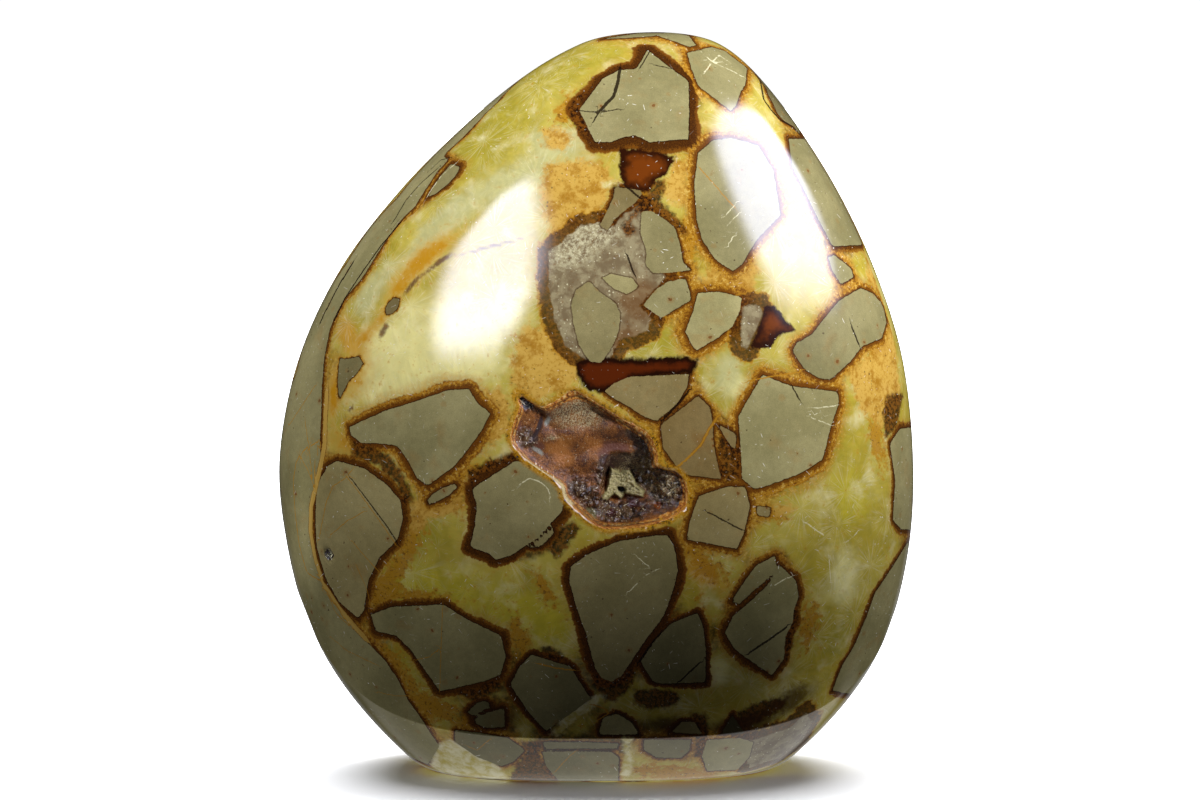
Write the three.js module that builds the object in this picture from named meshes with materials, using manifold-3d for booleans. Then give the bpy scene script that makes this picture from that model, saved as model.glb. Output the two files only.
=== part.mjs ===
// A polished, free-standing septarian nodule: an upright pebble of mudstone and calcite,
// ground to an egg shape, cut flat below and bevelled round the cut, with a crystal-lined
// hollow in the middle of its front face. Millimetres, +Z up, front face towards -Y.
import * as THREE from 'three';
import { mergeVertices } from 'three/addons/utils/BufferGeometryUtils.js';
import Module from 'manifold-3d';

// Level sections of the pebble from the crown down:
// height, left edge, right edge, half depth in front, half depth behind.
const sections = [
  [150.0, 12.0, 12.0, 0.0, 0.0],
  [149.1, 1.6, 20.8, 8.0, 8.0],
  [146.4, -5.8, 27.0, 13.4, 13.3],
  [140.8, -15.0, 33.2, 19.0, 18.8],
  [131.6, -26.2, 40.4, 24.8, 24.3],
  [118.0, -40.0, 48.8, 30.2, 29.3],
  [102.0, -52.4, 56.2, 33.9, 33.0],
  [84.0, -60.8, 62.0, 36.0, 35.2],
  [64.0, -64.6, 64.6, 36.5, 35.8],
  [46.0, -63.2, 64.0, 35.7, 35.0],
  [28.0, -58.6, 59.6, 33.6, 32.8],
  [10.0, -50.5, 51.5, 30.8, 29.8],
  [-10.0, -38.0, 39.0, 26.0, 25.0],
];
const bodySquareness = 2.25; // 2 would make every section an ellipse

// The cut base and the bowed bevel that rises from it.
const base = { centreX: 0.6, halfWidth: 34.8, halfDepth: 20.0, squareness: 2.33 };
const bevel = { rise: 1.15, bow: 0.0133, bowTop: 27.0, flare: 0.37, depthShare: 0.85 };
const baseRound = { size: 2.0, height: 0.8 };

// Slow swells that hand polishing leaves: amplitude, then waves along the other two axes, phase.
const swellsX = [[0.22, 0.11, 0.07, 1.3]];
const swellsY = [[0.36, 0.055, 0.08, 0.5], [0.16, 0.12, -0.1, 2.0]];

// The hollow's rim on the front face, x and z, and the floor below it.
const hollowRim = [
  [-15.8, 79.6], [-11.6, 77.2], [-9.6, 77.2], [-7.5, 78.5], [-5.0, 80.0], [-3.0, 79.5],
  [1.0, 77.0], [5.0, 74.5], [9.5, 72.0], [11.5, 68.5], [12.0, 65.2], [15.0, 64.4],
  [17.0, 62.5], [17.6, 60.0], [17.0, 57.0], [14.0, 55.0], [9.0, 53.5], [3.5, 53.0],
  [0.0, 53.5], [-4.0, 56.5], [-6.5, 59.0], [-7.6, 61.8], [-12.0, 65.0], [-14.5, 67.0],
  [-17.0, 70.5], [-16.5, 73.5], [-15.2, 77.0],
];
const hollow = {
  centreX: 0.0, centreZ: 63.0, wallDepth: 1.9, dishDepth: 1.2,
  pocketX: 6.0, pocketZ: 60.0, pocketDepth: 7.6, pocketWidth: 9.0, pocketHeight: 7.5,
};
const crust = { clearance: 0.4, thickness: 0.8, lowPeak: 0.3, highPeak: 2.0, jitter: 0.34 };

// A small open pore low on the left flank.
const pore = { x: -53.9, z: 46.0, radius: 1.2 };

const around = 72; // columns round the pebble
const crownRows = 30;
const bevelRows = 6;
const baseRows = 3;
const hollowCells = 24; // cells across the hollow

// One uniform Catmull-Rom blend of four rows of numbers.
function blendRows(a, b, c, d, t) {
  return b.map((value, k) => 0.5 * (2 * value + (c[k] - a[k]) * t
    + (2 * a[k] - 5 * value + 4 * c[k] - d[k]) * t * t
    + (3 * value - a[k] - 3 * c[k] + d[k]) * t * t * t));
}

// The section at a place along the list; beyond the crown the list is mirrored,
// so that the top is smooth.
const beyondCrown = [
  sections[1][0],
  2 * sections[0][1] - sections[1][1],
  2 * sections[0][2] - sections[1][2],
  -sections[1][3],
  -sections[1][4],
];
function sectionAt(place) {
  const last = sections.length - 1;
  const i = Math.min(Math.floor(place), last - 1);
  const before = i === 0 ? beyondCrown : sections[i - 1];
  const after = sections[Math.min(i + 2, last)];
  const [z, left, right, front, back] = blendRows(
    before, sections[i], sections[i + 1], after, place - i);
  return { z, centre: (left + right) / 2, halfWidth: (right - left) / 2, front, back };
}

// The point of the bare pebble, before its base is cut, in a direction round its axis.
function pebblePoint(place, angle) {
  const s = sectionAt(place);
  const c = Math.cos(angle);
  const d = Math.sin(angle);
  const p = bodySquareness;
  const reach = (Math.abs(c) ** p + Math.abs(d) ** p) ** (-1 / p);
  const depth = d < 0 ? s.front : s.back;
  return new THREE.Vector3(s.centre + s.halfWidth * c * reach, depth * d * reach, s.z);
}

// How far the bevel has spread sideways and in depth at a height above the cut.
function bevelAt(z) {
  const low = Math.min(z, bevel.bowTop);
  const spread = bevel.rise * low - bevel.bow * low * low + bevel.flare * (z - low);
  const round = baseRound.size * (1 - Math.exp(-z / baseRound.height));
  return {
    halfWidth: base.halfWidth + round + spread,
    halfDepth: base.halfDepth + round + spread * bevel.depthShare,
  };
}

// 1 on the bevel's surface, more outside it.
function bevelRatio(point) {
  const { halfWidth, halfDepth } = bevelAt(point.z);
  const p = base.squareness;
  const across = Math.abs((point.x - base.centreX) / halfWidth) ** p;
  return (across + Math.abs(point.y / halfDepth) ** p) ** (1 / p);
}

// The place along the sections where a test changes from no to yes.
function findPlace(from, to, test) {
  let low = from;
  let high = to;
  for (let i = 0; i < 40; i += 1) {
    const middle = (low + high) / 2;
    if (test(middle)) {
      high = middle;
    } else {
      low = middle;
    }
  }
  return (low + high) / 2;
}

function bevelledPoint(place, angle) {
  const point = pebblePoint(place, angle);
  const shrink = 1 / Math.max(1, bevelRatio(point));
  point.x = base.centreX + (point.x - base.centreX) * shrink;
  point.y *= shrink;
  return point;
}

const widest = sections.findIndex((row) => row[0] < 70);
const cutPlace = findPlace(widest, sections.length - 1, (place) => sectionAt(place).z < 0);

// The polished front face's y at a place across and up.
function frontY(x, z) {
  const place = findPlace(0, cutPlace, (trial) => sectionAt(trial).z < z);
  const s = sectionAt(place);
  const across = Math.abs((x - s.centre) / s.halfWidth) ** bodySquareness;
  return -s.front * Math.max(0, 1 - across) ** (1 / bodySquareness);
}

// The polishing swells move every point a little, alike in all pieces.
function swell(point) {
  const { x, y, z } = point;
  for (const [size, alongY, alongZ, phase] of swellsX) {
    point.x += size * Math.sin(alongY * y + alongZ * z + phase);
  }
  for (const [size, alongX, alongZ, phase] of swellsY) {
    point.y += size * Math.sin(alongX * x + alongZ * z + phase);
  }
  return point;
}

function buildGeometry(points, faces) {
  const geometry = new THREE.BufferGeometry();
  const numbers = points.flatMap((point) => swell(point.clone()).toArray());
  geometry.setAttribute('position', new THREE.Float32BufferAttribute(numbers, 3));
  geometry.setIndex(faces);
  return geometry;
}

// Rings from the crown to the bevel's upper edge, on to the cut, and in to its middle.
function pebbleRings() {
  const rings = [];
  const angles = Array.from({ length: around }, (_, i) => (2 * Math.PI * i) / around);
  const creases = angles.map((angle) => findPlace(
    widest, cutPlace, (place) => bevelRatio(pebblePoint(place, angle)) > 1));
  for (let row = 1; row <= crownRows; row += 1) {
    const share = row / crownRows;
    rings.push(angles.map((angle, i) => bevelledPoint(creases[i] * share, angle)));
  }
  for (let row = 1; row <= bevelRows; row += 1) {
    const share = 1 - (1 - row / bevelRows) ** 1.6;
    rings.push(angles.map((angle, i) => (
      bevelledPoint(creases[i] + (cutPlace - creases[i]) * share, angle))));
  }
  rings[rings.length - 1].forEach((point) => { point.z = 0; });
  const edge = rings[rings.length - 1];
  for (let row = 1; row < baseRows; row += 1) {
    const share = 1 - row / baseRows;
    rings.push(edge.map((point) => new THREE.Vector3(
      base.centreX + (point.x - base.centreX) * share, point.y * share, 0)));
  }
  return rings;
}

function pebbleGeometry() {
  const rings = pebbleRings();
  const crown = new THREE.Vector3(sections[0][1], 0, sections[0][0]);
  const foot = new THREE.Vector3(base.centreX, 0, 0);
  const points = [crown, ...rings.flat(), foot];
  const faces = [];
  const last = points.length - 1;
  const at = (row, i) => 1 + row * around + (i % around);
  for (let i = 0; i < around; i += 1) {
    faces.push(0, at(0, i), at(0, i + 1));
    faces.push(last, at(rings.length - 1, i + 1), at(rings.length - 1, i));
    for (let row = 0; row < rings.length - 1; row += 1) {
      faces.push(at(row, i), at(row + 1, i), at(row + 1, i + 1));
      faces.push(at(row, i), at(row + 1, i + 1), at(row, i + 1));
    }
  }
  return buildGeometry(points, faces);
}

// The rim, drawn in by an inset, as distances from the hollow's middle in order of direction.
const rimCurve = new THREE.CatmullRomCurve3(
  hollowRim.map(([x, z]) => new THREE.Vector3(x, 0, z)), true, 'catmullrom', 0.5);
const rimSteps = 270;
function drawRim(inset) {
  return Array.from({ length: rimSteps }, (_, i) => {
    const point = rimCurve.getPoint(i / rimSteps);
    const along = rimCurve.getTangent(i / rimSteps);
    const x = point.x + along.z * inset - hollow.centreX;
    const z = point.z - along.x * inset - hollow.centreZ;
    return { angle: Math.atan2(z, x), reach: Math.hypot(x, z) };
  }).sort((a, b) => a.angle - b.angle);
}

function rimReach(rim, angle) {
  const found = rim.findIndex((step) => step.angle > angle);
  const next = rim[found === -1 ? 0 : found];
  const before = rim[(found <= 0 ? rim.length : found) - 1];
  const turn = 2 * Math.PI;
  const gap = (next.angle - before.angle + turn) % turn;
  const share = gap > 0 ? ((angle - before.angle + turn) % turn) / gap : 0;
  return before.reach + (next.reach - before.reach) * share;
}

// A place in the hollow for a place in the square from -1 to 1: the square's rings
// become rings of the rim's own shape.
function hollowPlace(rim, u, v) {
  const wide = Math.abs(u) > Math.abs(v);
  const share = wide ? u : v;
  const turn = wide ? (Math.PI / 4) * (v / u) : Math.PI / 2 - (Math.PI / 4) * (u / (v || 1));
  const angle = Math.atan2(Math.sin(turn) * Math.sign(share), Math.cos(turn) * Math.sign(share));
  const reach = Math.abs(share) * rimReach(rim, angle);
  const x = hollow.centreX + reach * Math.cos(angle);
  const z = hollow.centreZ + reach * Math.sin(angle);
  return { x, z, share: Math.abs(share) };
}

// The rock floor's distance behind the polished face.
function floorDepth({ x, z, share }) {
  const across = (x - hollow.pocketX) / hollow.pocketWidth;
  const up = (z - hollow.pocketZ) / hollow.pocketHeight;
  const pocket = Math.exp(-(across * across + up * up)) * (1 - share ** 6);
  return hollow.wallDepth + hollow.dishDepth * (1 - share * share) + hollow.pocketDepth * pocket;
}

// A closed sheet over the hollow: near and far give the y of its two faces.
function sheetGeometry(placeAt, near, far) {
  const points = [];
  const cells = hollowCells;
  const side = cells + 1;
  for (const face of [near, far]) {
    for (let j = 0; j < side; j += 1) {
      for (let i = 0; i < side; i += 1) {
        const place = placeAt(i, j);
        points.push(new THREE.Vector3(place.x, face(place, i, j), place.z));
      }
    }
  }
  const faces = [];
  const at = (face, i, j) => face * side * side + j * side + i;
  for (let j = 0; j < cells; j += 1) {
    for (let i = 0; i < cells; i += 1) {
      const corners = [[i, j], [i + 1, j], [i + 1, j + 1], [i, j + 1]];
      const [a, b, c, d] = corners.map(([p, q]) => at(0, p, q));
      const [e, f, g, h] = corners.map(([p, q]) => at(1, p, q));
      faces.push(a, b, c, a, c, d, e, g, f, e, h, g);
    }
  }
  for (let i = 0; i < cells; i += 1) {
    const edges = [
      [i, 0, i + 1, 0], [cells, i, cells, i + 1],
      [i + 1, cells, i, cells], [0, i + 1, 0, i],
    ];
    for (const [p, q, r, s] of edges) {
      faces.push(at(0, p, q), at(1, p, q), at(1, r, s));
      faces.push(at(0, p, q), at(1, r, s), at(0, r, s));
    }
  }
  return buildGeometry(points, faces);
}

// Repeatable scatter from 0 to 1 for a pair of whole numbers.
function scatter(i, j, series) {
  const wave = Math.sin(i * 127.1 + j * 311.7 + series * 74.7) * 43758.5453;
  return wave - Math.floor(wave);
}

// The druse: every third grid point is a crystal's tip and its six neighbours are its foot,
// so each crystal is a six-sided pyramid with flat faces.
function crustGeometry() {
  const rim = drawRim(crust.clearance);
  const last = hollowCells;
  const isTip = (i, j) => (i + j) % 3 === 0;
  const onEdge = (i, j) => i === 0 || j === 0 || i === last || j === last;
  const placeAt = (i, j) => {
    const loose = onEdge(i, j) ? 0 : crust.jitter;
    const u = (2 * (i + loose * (scatter(i, j, 1) - 0.5))) / last - 1;
    const v = (2 * (j + loose * (scatter(i, j, 2) - 0.5))) / last - 1;
    return hollowPlace(rim, u, v);
  };
  const far = (place) => frontY(place.x, place.z) + floorDepth(place) - crust.clearance;
  const near = (place, i, j) => {
    const growth = crust.lowPeak + (crust.highPeak - crust.lowPeak) * scatter(i, j, 3);
    const peak = isTip(i, j) && !onEdge(i, j) ? growth * (1 - place.share ** 3) : 0;
    return far(place) - crust.thickness - peak;
  };
  return sheetGeometry(placeAt, near, far);
}

// The rock that is missing from the hollow, standing proud of the face.
function plugGeometry() {
  const rim = drawRim(0);
  const placeAt = (i, j) => (
    hollowPlace(rim, (2 * i) / hollowCells - 1, (2 * j) / hollowCells - 1));
  const near = (place) => frontY(place.x, place.z) - 3;
  const far = (place) => frontY(place.x, place.z) + floorDepth(place);
  return sheetGeometry(placeAt, near, far);
}

function poreGeometry() {
  const middle = swell(new THREE.Vector3(pore.x, frontY(pore.x, pore.z), pore.z));
  return new THREE.IcosahedronGeometry(pore.radius, 1).translate(middle.x, middle.y, middle.z);
}

const wasm = await Module();
wasm.setup();

function toSolid(source) {
  const bare = source.clone();
  bare.deleteAttribute('normal');
  bare.deleteAttribute('uv');
  const merged = mergeVertices(bare, 1e-5);
  return new wasm.Manifold(new wasm.Mesh({
    numProp: 3,
    vertProperties: new Float32Array(merged.attributes.position.array),
    triVerts: new Uint32Array(merged.index.array),
  }));
}

function fromSolid(solid) {
  const mesh = solid.getMesh();
  const geometry = new THREE.BufferGeometry();
  geometry.setAttribute('position', new THREE.BufferAttribute(mesh.vertProperties, 3));
  geometry.setIndex(new THREE.BufferAttribute(mesh.triVerts, 1));
  return geometry;
}

function namedMesh(name, geometry, finish) {
  geometry.computeVertexNormals();
  const mesh = new THREE.Mesh(geometry, new THREE.MeshStandardMaterial(finish));
  mesh.name = name;
  return mesh;
}

const carved = toSolid(pebbleGeometry())
  .subtract(toSolid(plugGeometry()))
  .subtract(toSolid(poreGeometry()));

const stone = new THREE.Group();
stone.add(namedMesh('nodule', fromSolid(carved), {
  color: 0x9a8f55, roughness: 0.12, metalness: 0,
}));
stone.add(namedMesh('vug_crust', crustGeometry(), {
  color: 0x6b3820, roughness: 0.55, metalness: 0,
}));

export default stone;
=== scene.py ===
import math

import bpy
import numpy as np
from mathutils import Matrix, Vector


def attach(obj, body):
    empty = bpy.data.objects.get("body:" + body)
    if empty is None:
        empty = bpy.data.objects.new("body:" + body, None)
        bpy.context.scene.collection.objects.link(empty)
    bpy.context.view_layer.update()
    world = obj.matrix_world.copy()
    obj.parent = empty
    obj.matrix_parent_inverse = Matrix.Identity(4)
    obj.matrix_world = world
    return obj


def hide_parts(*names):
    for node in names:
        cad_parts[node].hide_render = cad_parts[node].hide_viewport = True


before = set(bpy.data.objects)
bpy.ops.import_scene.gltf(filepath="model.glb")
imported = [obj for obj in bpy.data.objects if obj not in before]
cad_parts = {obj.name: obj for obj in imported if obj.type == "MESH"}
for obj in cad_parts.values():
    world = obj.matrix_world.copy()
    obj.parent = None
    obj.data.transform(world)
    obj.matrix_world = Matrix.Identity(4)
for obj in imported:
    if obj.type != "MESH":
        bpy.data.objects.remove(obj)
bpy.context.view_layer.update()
print("frame loaded:", sorted(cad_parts))

# The camera, and the flat frame in which the markings are drawn as it sees them.
view = {
    "width": 1200,
    "height": 800,
    "focal": 4500.0,  # in units of that frame
    "sensor": 36.0,
    "distance": 918.0,  # millimetres from the target
    "elevation": 5.0,
    "target": (0.6, 0.0, 75.2),
    "reach": 20.0,  # metres
    "scaleLimits": (0.12, 0.8),  # least and most millimetres of stone to a unit of the frame
}


# Where the camera stands, and its rightward, upward and backward directions.
def cameraAxes():
    tilt = math.radians(view["elevation"])
    back = np.array([0.0, -math.cos(tilt), math.sin(tilt)])
    right = np.array([1.0, 0.0, 0.0])
    up = np.cross(right, -back)
    place = np.array(view["target"]) + back * view["distance"]
    return place, right, up, back


# Perspective: sideways and upward distance from the camera's axis over the distance along it.
def toFrame(points):
    place, right, up, back = cameraAxes()
    away = points - place
    along = -(away @ back)
    x = view["width"] / 2 + view["focal"] * (away @ right) / along
    y = view["height"] / 2 - view["focal"] * (away @ up) / along
    return np.stack([x, y], -1)


# The same camera for the render.
def makeCamera():
    place, right, up, back = cameraAxes()
    lens = bpy.data.cameras.new("camera")
    lens.sensor_width = view["sensor"]
    lens.lens = view["focal"] / view["width"] * view["sensor"]
    lens.clip_end = view["reach"]
    camera = bpy.data.objects.new("camera", lens)
    bpy.context.scene.collection.objects.link(camera)
    camera.location = Vector(place) / 1000
    camera.rotation_euler = Matrix(np.stack([right, up, back], 1)).to_euler()
    bpy.context.scene.camera = camera


makeCamera()

# The stone's form, in millimetres.
nodule = {
    # height, left edge, right edge, half depth in front, half depth behind
    "sections": [
        (150.0, 12.0, 12.0, 0.0, 0.0),
        (149.1, 1.6, 20.8, 8.0, 8.0),
        (146.4, -5.8, 27.0, 13.4, 13.3),
        (140.8, -15.0, 33.2, 19.0, 18.8),
        (131.6, -26.2, 40.4, 24.8, 24.3),
        (118.0, -40.0, 48.8, 30.2, 29.3),
        (102.0, -52.4, 56.2, 33.9, 33.0),
        (84.0, -60.8, 62.0, 36.0, 35.2),
        (64.0, -64.6, 64.6, 36.5, 35.8),
        (46.0, -63.2, 64.0, 35.7, 35.0),
        (28.0, -58.6, 59.6, 33.6, 32.8),
        (10.0, -50.5, 51.5, 30.8, 29.8),
        (-10.0, -38.0, 39.0, 26.0, 25.0),
    ],
    "squareness": 2.25,
    "widest": 8,  # the widest section in that list
    "base": {"centreX": 0.6, "halfWidth": 34.8, "halfDepth": 20.0, "squareness": 2.33},
    "bevel": {"rise": 1.15, "bow": 0.0133, "bowTop": 27.0, "flare": 0.37, "depthShare": 0.85},
    "baseRound": {"size": 2.0, "height": 0.8},
    # amplitude, wave along the two other axes, phase
    "swellsX": [(0.22, 0.11, 0.07, 1.3)],
    "swellsY": [(0.36, 0.055, 0.08, 0.5), (0.16, 0.12, -0.1, 2.0)],
    "pore": {"x": -53.9, "z": 46.0, "radius": 1.2, "way": (0.62, 0.78, 0.0)},
    "columns": 404,
    "backShare": 0.42,  # columns behind are this much sparser than in front,
    "frontEase": 4.0,  # and the change from one to the other takes this much depth
    "crownRows": 204,
    "bevelRows": 24,
    "bevelCrowding": 1.6,  # above 1 these rows crowd together at the cut
    "creaseShares": (0.0012, 0.0096),  # rings this close to the bevel's crease keep it crisp
    "baseRows": 8,
}

# The open hollow in the front.
hollow = {
    # x and z of points on its rim, which a smooth curve joins
    "rim": [
        (-15.8, 79.6), (-11.6, 77.2), (-9.6, 77.2), (-7.5, 78.5), (-5.0, 80.0), (-3.0, 79.5),
        (1.0, 77.0), (5.0, 74.5), (9.5, 72.0), (11.5, 68.5), (12.0, 65.2), (15.0, 64.4),
        (17.0, 62.5), (17.6, 60.0), (17.0, 57.0), (14.0, 55.0), (9.0, 53.5), (3.5, 53.0),
        (0.0, 53.5), (-4.0, 56.5), (-6.5, 59.0), (-7.6, 61.8), (-12.0, 65.0), (-14.5, 67.0),
        (-17.0, 70.5), (-16.5, 73.5), (-15.2, 77.0),
    ],
    "rimSteps": 1350,
    "centre": (0.0, 63.0),
    "window": ((0.0, 21.0), (66.0, 17.0)),  # middle and half size along x and z, round it
    "snap": 0.32,  # points this near the rim are pulled on to it
    "away": 30.0,  # what counts as far from the rim
    "wallDepth": 1.9,
    "dishDepth": 1.2,
    "edgePower": 6,  # how squarely the pocket closes before the rim
    "pocket": {"x": 6.0, "z": 60.0, "depth": 7.6, "width": 9.0, "height": 7.5},
    "floorGap": 0.3,  # the stone's own floor lies this far behind the crust's bed
}


# A uniform Catmull-Rom blend of four neighbouring rows.
def blendRows(a, b, c, d, t):
    return 0.5 * (2 * b + (c - a) * t + (2 * a - 5 * b + 4 * c - d) * t ** 2
                  + (3 * b - a - 3 * c + d) * t ** 3)


# The section at a place along the list: height, left, right, front and back half depth.
def sectionsAt(place):
    rows = np.array(nodule["sections"])
    last = len(rows) - 1
    mirrored = [rows[1, 0], 2 * rows[0, 1] - rows[1, 1], 2 * rows[0, 2] - rows[1, 2],
                -rows[1, 3], -rows[1, 4]]
    padded = np.vstack([mirrored, rows, rows[-1]])
    i = np.minimum(np.floor(place).astype(int), last - 1)
    t = (place - i)[..., None]
    return blendRows(padded[i], padded[i + 1], padded[i + 2], padded[i + 3], t)


# A squared ellipse round each section: reach = (|cos|^p + |sin|^p)^(-1/p).
def pebblePoints(place, angle):
    rows = sectionsAt(place)
    z, left, right, front, back = np.moveaxis(rows, -1, 0)
    c, s, p = np.cos(angle), np.sin(angle), nodule["squareness"]
    reach = (np.abs(c) ** p + np.abs(s) ** p) ** (-1 / p)
    depth = np.where(s < 0, front, back)
    x = (left + right) / 2 + (right - left) / 2 * c * reach
    return np.stack([x, depth * s * reach, z], -1)


# Above 1 outside the bevel, whose half width grows with height in a bowed line.
def bevelRatio(points):
    x, y, z = np.moveaxis(points, -1, 0)
    base, bevel, edge = nodule["base"], nodule["bevel"], nodule["baseRound"]
    low = np.minimum(z, bevel["bowTop"])
    spread = bevel["rise"] * low - bevel["bow"] * low ** 2 + bevel["flare"] * (z - low)
    softened = edge["size"] * (1 - np.exp(-z / edge["height"]))
    halfWidth = base["halfWidth"] + softened + spread
    halfDepth = base["halfDepth"] + softened + spread * bevel["depthShare"]
    p = base["squareness"]
    return (np.abs((x - base["centreX"]) / halfWidth) ** p + np.abs(y / halfDepth) ** p) ** (1 / p)


# Points outside the bevel come in towards its middle line until the ratio is 1.
def bevelledPoints(place, angle):
    points = pebblePoints(place, angle)
    shrink = 1 / np.maximum(1, bevelRatio(points))
    centreX = nodule["base"]["centreX"]
    points[..., 0] = centreX + (points[..., 0] - centreX) * shrink
    points[..., 1] *= shrink
    return points


# The place where a test turns from no to yes, by halving, for a whole array at once.
def findPlace(low, high, test):
    for _ in range(40):
        middle = (low + high) / 2
        passed = test(middle)
        low, high = np.where(passed, low, middle), np.where(passed, middle, high)
    return (low + high) / 2


# The front face under a place: -front (1 - |x / half width|^p)^(1/p) at the section of that height.
def frontY(x, z):
    places = np.linspace(0, len(nodule["sections"]) - 1, 4000)
    heights = sectionsAt(places)[:, 0]
    place = np.interp(-z, -heights, places)
    _, left, right, front, _ = np.moveaxis(sectionsAt(place), -1, 0)
    across = np.abs((x - (left + right) / 2) / ((right - left) / 2)) ** nodule["squareness"]
    return -front * np.maximum(0, 1 - across) ** (1 / nodule["squareness"])


# Slow sine swells that hand polishing leaves, along x and along y.
def swell(points):
    x, y, z = np.moveaxis(points, -1, 0).copy()
    for size, alongY, alongZ, phase in nodule["swellsX"]:
        points[..., 0] += size * np.sin(alongY * y + alongZ * z + phase)
    x = points[..., 0].copy()
    for size, alongX, alongZ, phase in nodule["swellsY"]:
        points[..., 1] += size * np.sin(alongX * x + alongZ * z + phase)
    return points


# A closed Catmull-Rom curve through the given points.
def closedCurve(points, steps):
    points = np.array(points)
    place = np.arange(steps) / steps * len(points)
    i = place.astype(int)
    t = (place - i)[:, None]
    return blendRows(*(points[(i + k) % len(points)] for k in (-1, 0, 1, 2)), t)


rimCurve = closedCurve(hollow["rim"], hollow["rimSteps"])
rimSpokes = rimCurve - np.array(hollow["centre"])
rimAngles = np.arctan2(rimSpokes[:, 1], rimSpokes[:, 0])
rimOrder = np.argsort(rimAngles)


# The rim's distance from the hollow's middle in a direction.
def rimReach(angle):
    return np.interp(angle, rimAngles[rimOrder], np.hypot(*rimSpokes[rimOrder].T), period=2 * math.pi)


# Depth of the rock floor: the wall, a shallow dish and one deeper bell-shaped pocket.
def floorDepth(x, z, share):
    pocket = hollow["pocket"]
    across = (x - pocket["x"]) / pocket["width"]
    up = (z - pocket["z"]) / pocket["height"]
    bell = np.exp(-(across ** 2 + up ** 2)) * (1 - share ** hollow["edgePower"])
    return hollow["wallDepth"] + hollow["dishDepth"] * (1 - share ** 2) + pocket["depth"] * bell


# Angles round the stone from the middle of its back, spaced by length along the widest section,
# closer in front.
def columnAngles():
    angle = np.linspace(math.pi / 2, math.pi * 2.5, 4001)
    ring = pebblePoints(np.full(angle.shape, float(nodule["widest"])), angle)
    step = np.linalg.norm(np.diff(ring, axis=0), axis=1)
    infront = 1 / (1 + np.exp(ring[:-1, 1] / nodule["frontEase"]))
    closeness = nodule["backShare"] + (1 - nodule["backShare"]) * infront
    length = np.concatenate([[0], np.cumsum(step * closeness)])
    wanted = np.arange(nodule["columns"]) / nodule["columns"] * length[-1]
    return np.interp(wanted, length, angle)


# Rings from the crown to the bevel's crease, on down to the cut, and in to its middle.
def stoneRings():
    angle = columnAngles()
    sections = nodule["sections"]
    cutPlace = findPlace(np.array(float(nodule["widest"])), np.array(len(sections) - 1.0),
                         lambda place: sectionsAt(place)[..., 0] < 0)
    crease = findPlace(np.full(angle.shape, float(nodule["widest"])), np.full(angle.shape, cutPlace),
                       lambda place: bevelRatio(pebblePoints(place, angle)) > 1)
    shares = np.linspace(0, 1, 2001)
    middle = crease[np.argmin(np.abs(angle - 1.5 * math.pi))]
    meridian = pebblePoints(shares * middle, np.full(shares.shape, 1.5 * math.pi))
    length = np.concatenate([[0], np.cumsum(np.linalg.norm(np.diff(meridian, axis=0), axis=1))])
    rowShares = np.interp(np.arange(1, nodule["crownRows"] + 1) / nodule["crownRows"] * length[-1],
                          length, shares)
    rowShares = np.insert(rowShares, -1, 1 - nodule["creaseShares"][0])
    upper = bevelledPoints(rowShares[:, None] * crease, angle[None, :])
    bevelPlaces = np.arange(1, nodule["bevelRows"] + 1) / nodule["bevelRows"]
    bevelShares = 1 - (1 - bevelPlaces) ** nodule["bevelCrowding"]
    bevelShares = np.insert(bevelShares, 0, nodule["creaseShares"][1])
    lower = bevelledPoints(crease + (cutPlace - crease) * bevelShares[:, None], angle[None, :])
    lower[-1, :, 2] = 0
    inward = 1 - np.arange(1, nodule["baseRows"]) / nodule["baseRows"]
    centre = np.array([nodule["base"]["centreX"], 0, 0])
    base = centre + (lower[-1] - centre) * inward[:, None, None]
    return np.concatenate([upper, lower, base])


# Sinks the hollow into the front: points near the rim are pulled on to its curve, and what lies
# inside goes back to the floor. Returns the distance from the rim, negative inside.
def sinkHollow(points):
    x, y, z = np.moveaxis(points, -1, 0)
    (middleX, halfX), (middleZ, halfZ) = hollow["window"]
    near = (y < 0) & (np.abs(x - middleX) < halfX) & (np.abs(z - middleZ) < halfZ)
    flat = np.stack([x[near], z[near]], -1)
    gaps = np.linalg.norm(flat[:, None] - rimCurve[None, ::2], axis=2)
    nearest, distance = gaps.argmin(1), gaps.min(1)
    snapped = distance < hollow["snap"]
    flat[snapped] = rimCurve[::2][nearest[snapped]]
    spokes = flat - np.array(hollow["centre"])
    share = np.hypot(*spokes.T) / rimReach(np.arctan2(spokes[:, 1], spokes[:, 0]))
    inside = (share < 1) & ~snapped
    floor = floorDepth(*flat.T, np.minimum(share, 1)) + hollow["floorGap"]
    face = frontY(*flat.T) + np.where(inside, floor, 0)
    points[near] = np.stack([flat[:, 0], face, flat[:, 1]], -1)
    signed = np.full(x.shape, hollow["away"])
    signed[near] = np.where(snapped, 0, np.where(share < 1, -distance, distance))
    return signed


# A round-bottomed pore: points within its ball sink in to the ball's far side.
def sinkPore(points):
    pore = nodule["pore"]
    middle = np.array([pore["x"], frontY(np.array(pore["x"]), np.array(pore["z"])), pore["z"]])
    away = np.linalg.norm(points - middle, axis=-1)
    drop = np.sqrt(np.maximum(0, pore["radius"] ** 2 - away ** 2))
    points += drop[..., None] * np.array(pore["way"])
    return away - pore["radius"]


# Half the difference between the neighbours on either side, along rows and round the ring.
def gridDerivatives(field):
    rows = np.gradient(field, axis=0)
    columns = (np.roll(field, -1, axis=1) - np.roll(field, 1, axis=1)) / 2
    return rows, columns


print("form ready")

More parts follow.
